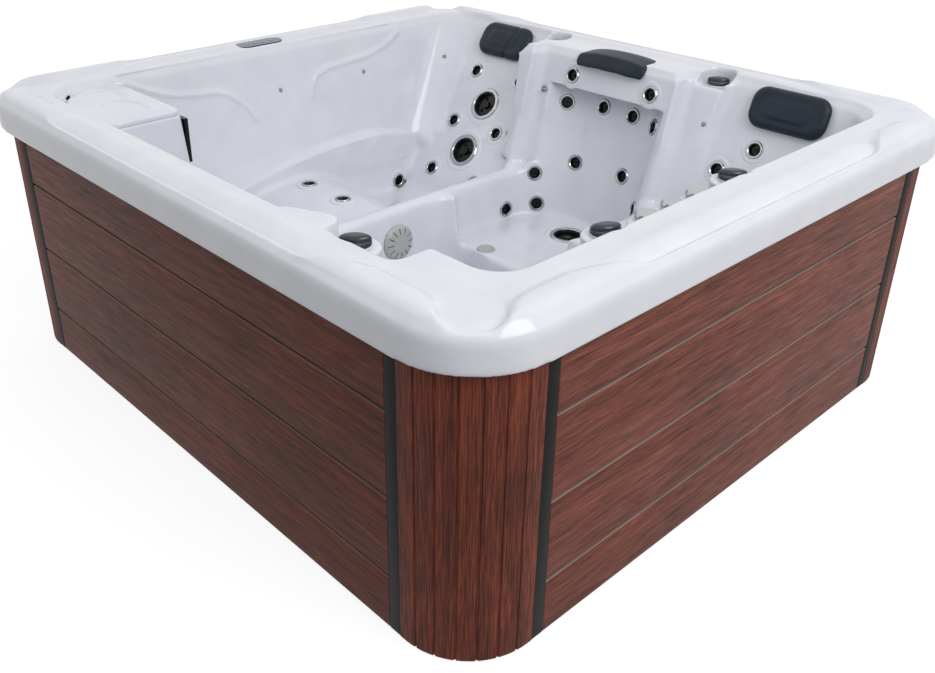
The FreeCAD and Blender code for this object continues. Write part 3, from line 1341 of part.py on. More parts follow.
inlet_1, outlet_1 = pump_ports(pump_ends[0])
inlet_2, outlet_2 = pump_ports(pump_ends[1])
bend = S.pipe_bend
stub = suctions[0].multVec(Vector(0, 0, -3 * S.shell_wall - gap))
stub_turn = suctions[0].multVec(Vector(0, 0, suction_lane - suction_x))
turn_lane = stub_turn.x
filter_spot = Vector((well_left + well_right) / 2, well_middle_y, well_floor - S.shell_wall - gap)
inlet_turn = Vector(pump_x, inlet_1.y - bend - S.board_thickness, pump_z)
routes = [
    # pump 1 to the heater
    [outlet_1, Vector(outlet_x, outlet_1.y, heater_z), Vector(heater_right + 4 * bend, heater_y, heater_z),
     Vector(heater_right + gap, heater_y, heater_z)],
    # heater to the jets of the lounger and the centre seat
    [Vector(heater_left - gap, heater_y, heater_z), Vector(lounger_lane, heater_y, heater_z),
     Vector(lounger_lane, heater_y, upper_z), Vector(lounger_lane, back_y, upper_z),
     Vector(lounger_lane, back_y, upper_z + 2.2 * bend), Vector(footwell_right, back_y, upper_z + 2.2 * bend)],
    # pump 2 to the jets of the corner seat
    [outlet_2, Vector(outlet_x, outlet_2.y, turn_z), Vector(outlet_x, back_y, turn_z),
     Vector(footwell_right + bend, back_y, turn_z)],
    # filter to pump 1
    [inlet_1, inlet_turn, Vector(heater_right + 3.4 * bend, inlet_turn.y, pump_z),
     Vector(heater_right + 3.4 * bend, middle_lane, floor_z),
     Vector(filter_spot.x, filter_spot.y, floor_z), filter_spot],
    # footwell suction to pump 2
    [stub, stub_turn, Vector(turn_lane, stub.y, floor_z),
     Vector(turn_lane, front_lane, floor_z), Vector(side_lane, front_lane, floor_z),
     Vector(side_lane, inlet_2.y - 4.4 * bend, floor_z),
     Vector(pump_x, inlet_2.y - 2.4 * bend, pump_z), inlet_2],
]
keep(feature("water_pipes", Part.makeCompound([pipe(route) for route in routes])))


# Check every piece, then write each one to its own file
doc.recompute()
for obj in doc.Objects:
    if {"Invalid", "Error"} & set(obj.State):
        raise RuntimeError(f"{obj.Label} failed: {obj.State}")
for obj in nodes:
    if obj.Shape.isNull() or not obj.Shape.isValid():
        raise RuntimeError(f"{obj.Label} has no valid shape")
os.makedirs("parts", exist_ok=True)
for obj in nodes:
    obj.Shape.exportStep(f"parts/{obj.Label}.step")
print(f"{len(nodes)} pieces written")
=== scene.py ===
import json
import math

import bpy
import numpy as np
from mathutils import Matrix, Vector


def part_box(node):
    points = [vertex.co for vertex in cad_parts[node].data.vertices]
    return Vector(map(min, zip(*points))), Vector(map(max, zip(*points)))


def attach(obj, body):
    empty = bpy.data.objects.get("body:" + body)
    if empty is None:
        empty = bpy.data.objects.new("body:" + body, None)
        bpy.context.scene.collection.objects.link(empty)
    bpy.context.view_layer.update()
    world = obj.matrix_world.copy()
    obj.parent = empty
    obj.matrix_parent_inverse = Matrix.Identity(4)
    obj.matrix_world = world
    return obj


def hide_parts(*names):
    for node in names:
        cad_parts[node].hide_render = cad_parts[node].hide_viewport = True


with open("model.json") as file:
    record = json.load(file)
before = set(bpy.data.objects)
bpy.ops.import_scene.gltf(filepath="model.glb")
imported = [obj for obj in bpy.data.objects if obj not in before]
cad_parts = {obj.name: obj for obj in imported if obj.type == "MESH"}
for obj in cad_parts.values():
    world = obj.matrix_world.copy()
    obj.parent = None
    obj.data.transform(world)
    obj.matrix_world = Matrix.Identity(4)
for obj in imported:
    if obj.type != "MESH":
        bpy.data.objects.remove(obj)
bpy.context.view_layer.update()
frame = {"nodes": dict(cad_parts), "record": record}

nodes = frame["nodes"]
bodyOf = {}
for bodyName, members in frame["record"]["behaviour"]["bodies"].items():
    for member in (members["nodes"] if isinstance(members, dict) else members):
        bodyOf[member] = bodyName


# helpers for selecting, shaping and handing over a piece

def only(*pieces):
    if bpy.context.mode != "OBJECT":
        bpy.ops.object.mode_set(mode="OBJECT")
    bpy.ops.object.select_all(action="DESELECT")
    for piece in pieces:
        piece.select_set(True)
    bpy.context.view_layer.objects.active = pieces[0]


def edit(piece):
    only(piece)
    bpy.ops.object.mode_set(mode="EDIT")
    bpy.ops.mesh.select_all(action="SELECT")


def leave():
    bpy.ops.object.mode_set(mode="OBJECT")


def nodeCopy(node, name):
    # a piece of its own from a CAD node's mesh, with its loose triangles joined
    mesh = nodes[node].data.copy()
    mesh.name = name
    mesh.materials.clear()
    piece = bpy.data.objects.new(name, mesh)
    bpy.context.scene.collection.objects.link(piece)
    edit(piece)
    bpy.ops.mesh.remove_doubles(threshold=0.00002)
    leave()
    return piece


def shaped(piece, kind, **settings):
    only(piece)
    modifier = piece.modifiers.new(kind.lower(), kind)
    for name, value in settings.items():
        setattr(modifier, name, value)
    bpy.ops.object.modifier_apply(modifier=modifier.name)
    return piece


def smoothShade(piece, degrees=35):
    only(piece)
    bpy.ops.object.shade_smooth_by_angle(angle=math.radians(degrees))
    return piece


def place(piece):
    # its place goes into its mesh, its object stays at the origin
    only(piece)
    bpy.ops.object.transform_apply(location=True, rotation=True, scale=True)
    return piece


def handOver(piece, material, slot, *replaced, body=None):
    piece.data.materials.clear()
    piece.data.materials.append(material)
    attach(piece, body or (bodyOf[replaced[0]] if replaced else "tub"))
    if replaced:
        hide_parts(*replaced)
    return piece


def vertexArrays(piece):
    count = len(piece.data.vertices)
    spots, normals = np.empty(count * 3, np.float32), np.empty(count * 3, np.float32)
    piece.data.vertices.foreach_get("co", spots)
    piece.data.vertex_normals.foreach_get("vector", normals)
    return spots.reshape(-1, 3).astype(float), normals.reshape(-1, 3).astype(float)


def putBack(piece, spots):
    piece.data.vertices.foreach_set("co", spots.astype(np.float32).ravel())
    piece.data.update()


def ease(t):
    t = np.clip(t, 0, 1)
    return t * t * (3 - 2 * t)


def loosePlaces(node, towards):
    # middle, axis, radius and top of each round fitting of a node, the axis pointing towards a place in the tub
    piece = nodeCopy(node, "fittings")
    only(piece)
    bpy.ops.mesh.separate(type="LOOSE")
    found = []
    for part in list(bpy.context.selected_objects):
        spots, _ = vertexArrays(part)
        middle = (spots.min(0) + spots.max(0)) / 2
        _, axes = np.linalg.eigh(np.cov((spots - spots.mean(0)).T))
        axis = axes[:, 0]
        if axis @ (np.array(towards) - middle) < 0:
            axis = -axis
        away = spots - spots.mean(0)
        across = away - np.outer(away @ axis, axis)
        radius = float(np.linalg.norm(across, axis=1).max())
        found.append((spots.mean(0), axis, radius, float((away @ axis).max())))
        bpy.data.objects.remove(part)
    return found


# helpers for materials

def linear(hexColour):
    out = []
    for i in (1, 3, 5):
        c = int(hexColour[i:i + 2], 16) / 255
        out.append(c / 12.92 if c <= 0.04045 else ((c + 0.055) / 1.055) ** 2.4)
    return (*out, 1.0)


def addNode(material, kind, settings=None, links=None):
    node = material.node_tree.nodes.new(kind)
    for name, value in (settings or {}).items():
        if isinstance(name, int) or name in node.inputs:
            node.inputs[name].default_value = value
        else:
            setattr(node, name, value)
    for name, source in (links or {}).items():
        material.node_tree.links.new(source, node.inputs[name])
    return node


def newMaterial(name, **surface):
    material = bpy.data.materials.new(name)
    material.use_nodes = True
    shader = material.node_tree.nodes["Principled BSDF"]
    for socket, value in surface.items():
        shader.inputs[socket.replace("_", " ")].default_value = value
    return material, shader


def join(material, source, node, socket):
    material.node_tree.links.new(source, node.inputs[socket])


def rampNode(material, source, stops):
    ramp = addNode(material, "ShaderNodeValToRGB", links={"Fac": source})
    elements = ramp.color_ramp.elements
    while len(elements) < len(stops):
        elements.new(0.5)
    for element, (position, colour) in zip(elements, stops):
        element.position = position
        element.color = linear(colour) if isinstance(colour, str) else (colour, colour, colour, 1)
    return ramp


def noiseNode(material, scale, detail=3.0, stretch=(1, 1, 1), roughness=0.5):
    # scale is in features per metre
    spots = addNode(material, "ShaderNodeTexCoord").outputs["Object"]
    mapped = addNode(material, "ShaderNodeMapping", {"Scale": stretch}, {"Vector": spots})
    return addNode(material, "ShaderNodeTexNoise", {"Scale": scale, "Detail": detail, "Roughness": roughness},
                   {"Vector": mapped.outputs["Vector"]})


def grainBump(material, shader, source, depth, strength=1.0):
    bump = addNode(material, "ShaderNodeBump", {"Distance": depth, "Strength": strength}, {"Height": source})
    join(material, bump.outputs["Normal"], shader, "Normal")


# Cast acrylic sheet, vacuum formed: a hard white gloss, clouded so faintly that it only looks deep
acrylicLook = {"white": "#d8dae1", "cloud": "#d3d5dd", "clouding": 9, "gloss": 0.09, "wipes": 5, "wiping": 0.07,
               "peels": 60, "peelDepth": 0.0001}


def castAcrylic(look):
    material, shader = newMaterial("castAcrylic", IOR=1.49)
    cloud = noiseNode(material, look["clouding"], 3)
    colour = rampNode(material, cloud.outputs["Fac"], [(0.35, look["cloud"]), (0.65, look["white"])])
    join(material, colour.outputs["Color"], shader, "Base Color")
    # wiped and handled: the gloss varies a little from place to place
    wiped = noiseNode(material, look["wipes"], 4)
    rough = rampNode(material, wiped.outputs["Fac"], [(0.3, look["gloss"]), (0.7, look["gloss"] + look["wiping"])])
    join(material, rough.outputs["Color"], shader, "Roughness")
    # the sheet's slight orange peel, about 17 mm across
    peel = noiseNode(material, look["peels"], 2)
    grainBump(material, shader, peel.outputs["Fac"], look["peelDepth"])
    return material


# Wood and plastic composite, extruded and brushed: streaks about 2.4 mm wide run along the board
boardLook = {"dark": "#27120d", "body": "#51261c", "light": "#7a3f30", "streak": 420, "run": 11, "patches": 3.5,
             "fineShare": 0.66, "broadShare": 0.26, "patchShare": 0.14, "streakDepth": 0.0007,
             # the pale line under each seam is a painted highlight
             "seams": (0.154, 0.369, 0.585), "bevel": "#8b7f76", "seamHighlightShare": 0.3, "seamHighlightDrop": 0.0042,
             "seamHighlightHalf": 0.0019}


def brushedComposite(name, look, along):
    material, shader = newMaterial(name, Specular_IOR_Level=0.22)
    stretch = [1.0, 1.0, 1.0]
    stretch[along] = look["run"] / look["streak"]
    fine = noiseNode(material, look["streak"], 4, stretch, 0.7)
    broad = noiseNode(material, look["streak"] / 7, 3, stretch, 0.55)
    patch = noiseNode(material, look["patches"], 2)
    wide = addNode(material, "ShaderNodeMath", {"operation": "MULTIPLY", 1: look["broadShare"]},
                   {0: broad.outputs["Fac"]})
    both = addNode(material, "ShaderNodeMath", {"operation": "MULTIPLY_ADD", 1: look["fineShare"]},
                   {0: fine.outputs["Fac"], 2: wide.outputs["Value"]})
    mixed = addNode(material, "ShaderNodeMath", {"operation": "MULTIPLY_ADD", 1: look["patchShare"]},
                    {0: patch.outputs["Fac"], 2: both.outputs["Value"]})
    colour = rampNode(material, mixed.outputs["Value"],
                      [(0.40, look["dark"]), (0.53, look["body"]), (0.68, look["light"])])
    shown = colour.outputs["Color"]
    # a painted highlight: the bevel under each seam is painted paler, where the eased edge would catch the light
    spots = addNode(material, "ShaderNodeTexCoord").outputs["Object"]
    height = addNode(material, "ShaderNodeSeparateXYZ", links={0: spots}).outputs["Z"]
    for seam in look["seams"]:
        line = addNode(material, "ShaderNodeMath",
                       {"operation": "COMPARE", 1: seam - look["seamHighlightDrop"], 2: look["seamHighlightHalf"]}, {0: height})
        share = addNode(material, "ShaderNodeMath", {"operation": "MULTIPLY", 1: look["seamHighlightShare"]},
                        {0: line.outputs["Value"]})
        highlightedSeam = addNode(material, "ShaderNodeMixRGB", {"Color2": linear(look["bevel"])},
                        {"Fac": share.outputs["Value"], "Color1": shown})
        shown = highlightedSeam.outputs["Color"]
    join(material, shown, shader, "Base Color")
    rough = rampNode(material, fine.outputs["Fac"], [(0.3, 0.7), (0.7, 0.5)])
    join(material, rough.outputs["Color"], shader, "Roughness")
    grainBump(material, shader, fine.outputs["Fac"], look["streakDepth"], 0.9)
    return material


def mouldedPlastic(name, colour, roughness, mottle=0.06, grain=900, depth=0.00004, **more):
    # injection moulded plastic: an even colour, a fine spark-eroded texture from the mould
    material, shader = newMaterial(name, IOR=1.53, **more)
    tone = noiseNode(material, 40, 2)
    base = linear(colour)[:3]
    low, high = [c * (1 - mottle) for c in base], [min(c * (1 + mottle), 1) for c in base]
    ramp = addNode(material, "ShaderNodeValToRGB", links={"Fac": tone.outputs["Fac"]})
    ramp.color_ramp.elements[0].color, ramp.color_ramp.elements[1].color = (*low, 1), (*high, 1)
    join(material, ramp.outputs["Color"], shader, "Base Color")
    speck = noiseNode(material, grain, 2)
    rough = rampNode(material, speck.outputs["Fac"], [(0.3, max(roughness - 0.05, 0.02)), (0.7, roughness + 0.05)])
    join(material, rough.outputs["Color"], shader, "Roughness")
    grainBump(material, shader, speck.outputs["Fac"], depth)
    return material


def turnedMetal(name, colour, roughness, brush=600):
    # stainless trim, pressed and polished, with faint handling marks
    material, shader = newMaterial(name, Metallic=1.0, Base_Color=linear(colour))
    marks = noiseNode(material, brush, 3, (1, 1, 0.15))
    rough = rampNode(material, marks.outputs["Fac"], [(0.3, roughness * 0.7), (0.7, roughness * 1.4)])
    join(material, rough.outputs["Color"], shader, "Roughness")
    return material


# Self-skinned urethane foam: a soft dull skin with pores about 2 mm apart, worn paler in places
pillowLook = {"skin": "#111b26", "worn": "#1c2834", "wear": 14, "pores": 480, "poreDepth": 0.00025}


def skinnedFoam(look):
    material, shader = newMaterial("skinnedFoam", Roughness=0.46, Specular_IOR_Level=0.3)
    cloud = noiseNode(material, look["wear"], 4)
    colour = rampNode(material, cloud.outputs["Fac"], [(0.35, look["skin"]), (0.75, look["worn"])])
    join(material, colour.outputs["Color"], shader, "Base Color")
    pores = noiseNode(material, look["pores"], 3)
    grainBump(material, shader, pores.outputs["Fac"], look["poreDepth"])
    return material


def sawnTimber(name):
    # planed softwood of the frame, rings stretched along the bars
    material, shader = newMaterial(name, Roughness=0.72)
    grain = noiseNode(material, 70, 5, (0.12, 0.12, 1))
    colour = rampNode(material, grain.outputs["Fac"], [(0.3, "#a07a4c"), (0.55, "#c49c69"), (0.8, "#d8b98a")])
    join(material, colour.outputs["Color"], shader, "Base Color")
    grainBump(material, shader, grain.outputs["Fac"], 0.0004)
    return material


acrylic = castAcrylic(acrylicLook)
boardAlongX = brushedComposite("compositeBoardLong", boardLook, 0)
# the boards along Y are a lighter copy of the same composite with a stronger painted seam highlight: painted light for
# the side turned to the key lamp
paintedLitBoardLook = dict(boardLook, dark="#37201a", body="#6a3a2e", light="#905747", seamHighlightShare=0.6)
boardAlongY = brushedComposite("compositeBoardPaintedLit", paintedLitBoardLook, 1)
slatLook = dict(boardLook, dark="#2a120b", body="#5a291c", light="#8c452c", streak=330, seams=())
slatUpright = brushedComposite("compositeSlat", slatLook, 2)
finishes = {
    "pan_plastic": mouldedPlastic("panAbs", "#1d1e20", 0.6, grain=300, depth=0.0003),
    "frame_timber": sawnTimber("frameTimber"),
    "strip_plastic": mouldedPlastic("stripPvc", "#0d0b09", 0.6, grain=500, depth=0.0001, Specular_IOR_Level=0.15),
    "foam": mouldedPlastic("supportFoam", "#d9d6cc", 0.9, grain=260, depth=0.001),
    "jet_metal": turnedMetal("jetStainless", "#b4b6b9", 0.2),
    "jet_black": mouldedPlastic("jetAbsBlack", "#08090b", 0.32, Specular_IOR_Level=0.3),
    "pipe_plastic": mouldedPlastic("pipePvc", "#dcdcd8", 0.35),
    "lens": mouldedPlastic("lampLens", "#9aa2aa", 0.12, Transmission_Weight=0.3),
    "fitting_grey": mouldedPlastic("fittingAbs", "#a9aaa8", 0.28),
    "filter_fleece": mouldedPlastic("filterFleece", "#dfe3e4", 0.95, grain=700, depth=0.0006),
    "knob_grey": mouldedPlastic("knobAbs", "#252c36", 0.24, grain=700),
    # the panel is dark display glass; the blue in its base colour is a painted reflection of the sky
    "panel_grey": mouldedPlastic("panelPaintedSkyBlue", "#16264a", 0.12),
    "button_grey": mouldedPlastic("buttonRubber", "#8d98a8", 0.5),
    "pillow_foam": skinnedFoam(pillowLook),
    "motor_paint": mouldedPlastic("motorEnamel", "#2c3138", 0.4, grain=200, depth=0.0002),
    "steel": turnedMetal("shaftSteel", "#9da0a3", 0.3),
    "acrylic": acrylic, "cabinet_boards": boardAlongX, "corner_slats": slatUpright,
}
for node in nodes.values():
    for slot in node.material_slots:
        key = slot.material.name.split(".")[0] if slot.material else "fitting_grey"
        slot.material = finishes.get(key, finishes["fitting_grey"])
print("materials made:", len(bpy.data.materials))


# The shell: the CAD form with every edge drawn soft, as a sheet sucked over a mould is
shellForm = {
    "voxel": 0.005,            # fine enough for the 8 mm sheet
    "softening": 12,           # passes that round every edge
    "flowing": 130,            # more passes inside the tub, where one form runs into the next
    "triangles": 196000,
    "halfLength": 1.1, "halfWidth": 1.0, "lipRadius": 0.205, "crest": 0.850, "rollRadius": 0.052, "crown": 0.005,
    "sheet": 0.0065,
    # the ridge of the rim: run from the corner's middle, and how far in from the lip
    "ridgeRun": [0, 0.039, 0.07, 0.093, 0.12, 0.19, 0.305, 0.345, 0.409, 0.44, 0.465, 0.5, 3],
    "ridgeInset": [-0.02, 0.0, 0.03, 0.055, 0.08, 0.094, 0.096, 0.084, 0.06, 0.036, 0.021, 0.015, 0.015],
    "bandLevel": 0.8335, "bandSwell": 0.009, "bandMiddle": 0.082, "bandWidth": 0.03,
    "sideRun": 0.42, "mounded": 0.016, "creaseInset": 0.139, "creaseDepth": 0.0016,
    # heights over which the upper face is redrawn, and above which the underside is held down
    "rimFoot": 0.8255, "underFoot": 0.815,
    # the end of the collar stands back from the lounger's headrest
    "collarBack": 0.034, "collarEnd": (-0.455, -0.305), "collarFace": 0.865, "collarFoot": 0.43,
    # filled before the remeshing: the lounger's back corner, the corner under the lid, the front rest's thin wall
    "fullness": {"radius": 0.042, "location": (-0.788, 0.603, 0.392)},
    "web": {"radius": 0.036, "depth": 0.030, "location": (-0.895, -0.789, 0.779)},
    "backing": {(-1, -1): (0.330, -0.844), (-1, 1): (0.440, -0.7962),
                (1, 1): (0.468, -0.7957), (1, -1): (0.490, -0.846)},
    "backingLevels": (0.600, 0.822),
    # the inside that flows: its half length and width, its top and foot
    "flowHalves": (0.895, 0.85), "flowTop": 0.806, "flowFoot": 0.06, "flowBlend": 0.03,
    # round each fitting: the distance over which the softening grows, and the ring that the flowing leaves alone
    "fittingBlend": 0.012, "fittingStill": 0.004,
}


def alongLip(x, y, form):
    # how far in from the lip's outline, and the run along it from the nearest corner's middle
    r = form["lipRadius"]
    dx, dy = np.abs(x) - (form["halfLength"] - r), np.abs(y) - (form["halfWidth"] - r)
    corner = (dx > 0) & (dy > 0)
    inset = np.where(corner, r - np.hypot(dx, dy), np.minimum(r - dx, r - dy))
    turn = r * np.abs(np.arctan2(dy, dx) - math.pi / 4)
    straight = r * math.pi / 4 + np.maximum(np.where(dx > dy, -dy, -dx), 0)
    return inset, np.where(corner, turn, straight)


def drawRim(spots, normals, form):
    # roll, groove and inner band along the sides, broad mounds beside each corner, a pocket in it
    inset, run = alongLip(spots[:, 0], spots[:, 1], form)
    ridge = np.interp(run, form["ridgeRun"], form["ridgeInset"])
    side = ease((run - form["sideRun"]) / 0.12)
    swell = form["bandSwell"] * np.exp(-((inset - form["bandMiddle"]) / form["bandWidth"]) ** 2) * (0.35 + 0.65 * side)
    band = form["bandLevel"] + swell * ease((run - 0.06) / 0.1)
    mound = ease((ridge + form["mounded"] - inset) / 0.03)
    level = band + (form["crest"] - band) * mound
    # fine crease just outside the near corner's inner edge
    near = ease((spots[:, 0] - 0.62) / 0.15) * ease((-0.1 - spots[:, 1]) / 0.15)
    level -= form["creaseDepth"] * near * ease((inset - form["creaseInset"]) / 0.006)
    level -= form["crown"] * mound * ((inset - ridge / 2) / np.maximum(ridge / 2 + 0.01, 0.02)) ** 2
    # every point of the sheet's upper face, the steep ones of the step too
    facing = np.where((inset > 0.015) & (inset < 0.15), normals[:, 2] + 0.6, normals[:, 2])
    weight = ease((spots[:, 2] - form["rimFoot"]) / 0.005) * ease((facing - 0.25) / 0.2)
    spots[:, 2] += weight * (level - spots[:, 2])
    # the underside of the sheet keeps below the drawn top
    under = (normals[:, 2] < -0.25) & (spots[:, 2] > form["underFoot"]) & (inset < 0.24)
    spots[:, 2] = np.where(under, np.minimum(spots[:, 2], level - form["sheet"]), spots[:, 2])
    # the square outer edge is turned over into a broad roll
    size, corner = form["rollRadius"], form["lipRadius"]
    outward = np.zeros((len(spots), 2))
    for axis, half in enumerate((form["halfLength"], form["halfWidth"])):
        reach = np.abs(spots[:, axis])
        outward[:, axis] = np.where(reach > half - corner, reach - half + corner, 0) * np.sign(spots[:, axis])
    outward /= np.maximum(np.linalg.norm(outward, axis=1), 1e-6)[:, None]
    along = np.clip(1 - inset / size, 0, 1)
    up = np.clip((spots[:, 2] - form["crest"] + size) / size, 0, 1)
    share = np.maximum(along, up) / np.maximum(np.hypot(along, up), 1e-6)
    share = np.where((along > 0) & (up > 0), share, 1)
    spots[:, :2] -= outward * (along * (1 - share) * size)[:, None]
    spots[:, 2] -= up * (1 - share) * size
    return spots


# Raised lines on the left wall, as places along Y and heights
wallLines = [
    [(-0.66, 0.84), (-0.60, 0.815), (-0.531, 0.779), (-0.47, 0.752), (-0.413, 0.736), (-0.34, 0.727), (-0.268, 0.722),
     (-0.225, 0.706), (-0.189, 0.678), (-0.16, 0.645), (-0.14, 0.608)],
    [(0.118, 0.64), (0.125, 0.67), (0.15, 0.704), (0.213, 0.724), (0.323, 0.731), (0.425, 0.741), (0.498, 0.76),
     (0.55, 0.785), (0.578, 0.80)],
]
lineForm = {"rise": 0.0028, "width": 0.009, "dip": 0.006, "fade": 0.09, "ends": 0.05, "strength": 1.25}
armrestLine = {"y": [-0.45, -0.35, -0.242, -0.13, -0.012, 0.1, 0.209, 0.30, 0.384, 0.48, 0.575, 0.66],
               "z": [0.395, 0.395, 0.400, 0.425, 0.443, 0.455, 0.461, 0.462, 0.457, 0.442, 0.418, 0.40],
               "wall": -0.796, "depth": 0.034, "above": 0.012, "blend": 0.034}


def drawLeftWall(spots, normals, form, armrest):
    wall = ease((normals[:, 0] - 0.6) / 0.2) * (spots[:, 0] < -0.76) * ease((spots[:, 2] - 0.49) / 0.03)
    y, z = spots[:, 1], spots[:, 2]
    push = np.zeros(len(spots))
    for line in wallLines:
        line = np.array(line)
        nearest = np.full(len(spots), 9.0)
        for here, there in zip(line[:-1], line[1:]):
            step = there - here
            share = np.clip(((y - here[0]) * step[0] + (z - here[1]) * step[1]) / (step @ step), 0, 1)
            nearest = np.minimum(nearest, np.hypot(y - here[0] - share * step[0], z - here[1] - share * step[1]))
        above = z - np.interp(y, line[:, 0], line[:, 1])
        inside = ease((y - line[0, 0]) / form["ends"]) * ease((line[-1, 0] - y) / form["ends"])
        push += form["rise"] * np.exp(-(nearest / form["width"]) ** 2)
        push -= form["dip"] * inside * ease(above / 0.02) * np.exp(-np.maximum(above, 0) / form["fade"])
    spots[:, 0] += wall * push * form["strength"]
    # the arm rest of the lounger rises along the wall in an arc
    crest = np.interp(y, armrest["y"], armrest["z"])
    on = (normals[:, 0] > 0.45) & (spots[:, 0] < -0.77) & (z > 0.33) & (z < crest + 0.03)
    ledge = armrest["wall"] - armrest["depth"] * ease((z - crest + armrest["above"]) / armrest["blend"])
    spots[:, 0] = np.where(on, np.maximum(spots[:, 0], ledge), spots[:, 0])
    return spots


smallJets = loosePlaces("small_jet_rings", (0, 0, 1.2))
largeJets = loosePlaces("large_jet_rings", (0, 0, 1.2))
suctions = loosePlaces("suction_covers", (0.2, 0, 0.3))
lampSpots = loosePlaces("wall_lights", (0, 0, 1.2))
drainSpots = loosePlaces("drain_fittings", (0, 0, 1.2))
print("jets", len(smallJets), len(largeJets), "suctions", len(suctions))


def stillPlaces():
    # the wall keeps its CAD face under each fitting: middle and radius
    fittings = smallJets + largeJets + suctions + lampSpots + drainSpots
    kept = [(middle, radius + 0.002) for middle, _, radius, _ in fittings]
    for name in [n for n in nodes if "_knob_" in n]:
        low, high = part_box(name)
        middle = np.array(((low.x + high.x) / 2, (low.y + high.y) / 2, high.z - 0.03))
        kept.append((middle, (high.x - low.x) / 2 + 0.006))
    return kept


def softened(piece, shares, passes):
    # the smoothing modifier, held back where the share is small
    group = piece.vertex_groups.new(name="soft")
    for level in range(1, 11):
        chosen = np.nonzero(np.round(shares * 10) == level)[0]
        if len(chosen):
            group.add(chosen.tolist(), level / 10, "REPLACE")
    shaped(piece, "SMOOTH", factor=0.5, iterations=passes, vertex_group="soft")
    piece.vertex_groups.clear()


def fillings(form):
    # solids that join the sheet where it runs full, or where it is too thin for the remeshing
    bpy.ops.mesh.primitive_uv_sphere_add(segments=32, ring_count=16, **form["fullness"])
    fullness = bpy.context.object
    bpy.ops.mesh.primitive_cylinder_add(vertices=32, **form["web"])
    web = bpy.context.object
    bpy.ops.mesh.primitive_cube_add(size=2, location=(0, 0, 0))
    backing = bpy.context.object
    low, high = form["backingLevels"]
    for vertex in backing.data.vertices:
        x, y = form["backing"][(round(vertex.co.x), round(vertex.co.y))]
        vertex.co = (x, y, low if vertex.co.z < 0 else high)
    for part in (fullness, web, backing):
        part.data.materials.clear()
        place(part)
    return fullness, web, backing


def setBack(spots, form):
    # how far each point of the collar's end goes back
    start, end = form["collarEnd"]
    back = ease((form["collarFace"] - spots[:, 1]) / 0.1) * ease((spots[:, 0] - start) / 0.03)
    back *= ease((end - spots[:, 0]) / 0.06)
    return form["collarBack"] * back * ease((spots[:, 2] - form["collarFoot"]) / 0.1) * (spots[:, 1] > 0.5)


def flowShares(spots, form):
    # how freely each point inside the tub flows into its neighbours
    (halfX, halfY), blend = form["flowHalves"], form["flowBlend"]
    within = ease((halfX - np.abs(spots[:, 0])) / blend) * ease((halfY - np.abs(spots[:, 1])) / blend)
    within *= ease((form["flowTop"] - spots[:, 2]) / blend) * ease((spots[:, 2] - form["flowFoot"]) / 0.02)
    # held: the shelves under the knobs, the collar's top, the filter's walls
    knobShelf = ease((-0.60 - spots[:, 1]) / 0.06) * ease((spots[:, 0] - 0.20) / 0.06)
    within *= 1 - knobShelf * ease((spots[:, 2] - 0.33) / 0.06)
    collar = (spots[:, 0] > -0.76) & (spots[:, 1] > 0.52)
    within *= np.where(collar, ease((0.62 - spots[:, 2]) / 0.06), 1)
    # free: the step between the lounger and the collar
    block = (np.abs(spots[:, 0] + 0.40) < 0.055) & (np.abs(spots[:, 1] - 0.775) < 0.085) & (spots[:, 2] > 0.45)
    well = (spots[:, 0] < -0.5) & (spots[:, 1] < -0.55)
    return np.maximum(within, block * 1.0) * (1 - well)


def makeShell(form):
    shell = nodeCopy("acrylic_shell", "tub_shell")
    only(shell)
    only(shell, *fillings(form))
    bpy.ops.object.join()
    shaped(shell, "REMESH", mode="VOXEL", voxel_size=form["voxel"], use_smooth_shade=True)
    print("shell remeshed:", len(shell.data.vertices))
    spots, normals = vertexArrays(shell)
    spots = drawRim(spots, normals, form)
    spots[:, 0] += setBack(spots, form)
    putBack(shell, spots)
    near = np.full(len(spots), 1.0)
    for middle, radius in stillPlaces():
        near = np.minimum(near, np.linalg.norm(spots - middle, axis=1) - radius)
    softened(shell, ease(near / form["fittingBlend"]), form["softening"])
    freeOfFittings = ease((near - form["fittingStill"]) / form["flowBlend"])
    softened(shell, flowShares(spots, form) * freeOfFittings, form["flowing"])
    spots, normals = vertexArrays(shell)
    putBack(shell, drawLeftWall(spots, normals, lineForm, armrestLine))
    triangles = sum(len(p.vertices) - 2 for p in shell.data.polygons)
    shaped(shell, "DECIMATE", ratio=form["triangles"] / triangles)
    smoothShade(shell, 60)
    print("shell finished:", len(shell.data.polygons))
    return handOver(shell, acrylic, "acrylic", "acrylic_shell")


makeShell(shellForm)


# Soft moulded dish round each jet: radius and rise from the wall
dishForm = {"small": [(0.0285, 0.0004), (0.033, 0.0014), (0.040, 0.0016), (0.0445, 0.0009), (0.048, -0.0012)],
            "large": [(0.0645, 0.0006), (0.070, 0.0018), (0.080, 0.0018), (0.086, 0.0008), (0.090, -0.0014)],
            "steps": 40, "seat": 0.0053}


def turnedRing(name, profile, steps):
    # a line of points about Z, spun into a ring
    mesh = bpy.data.meshes.new(name)
    mesh.from_pydata([(r, 0, z) for r, z in profile], [(i, i + 1) for i in range(len(profile) - 1)], [])
    ring = bpy.data.objects.new(name, mesh)
    bpy.context.scene.collection.objects.link(ring)
    edit(ring)
    bpy.ops.mesh.spin(steps=steps, angle=math.tau, center=(0, 0, 0), axis=(0, 0, 1), use_auto_merge=False)
    bpy.ops.mesh.select_all(action="SELECT")
    bpy.ops.mesh.remove_doubles(threshold=0.00005)
    leave()
    _, normals = vertexArrays(ring)
    if normals[:, 2].mean() < 0:
        edit(ring)
        bpy.ops.mesh.flip_normals()
        leave()
    return ring


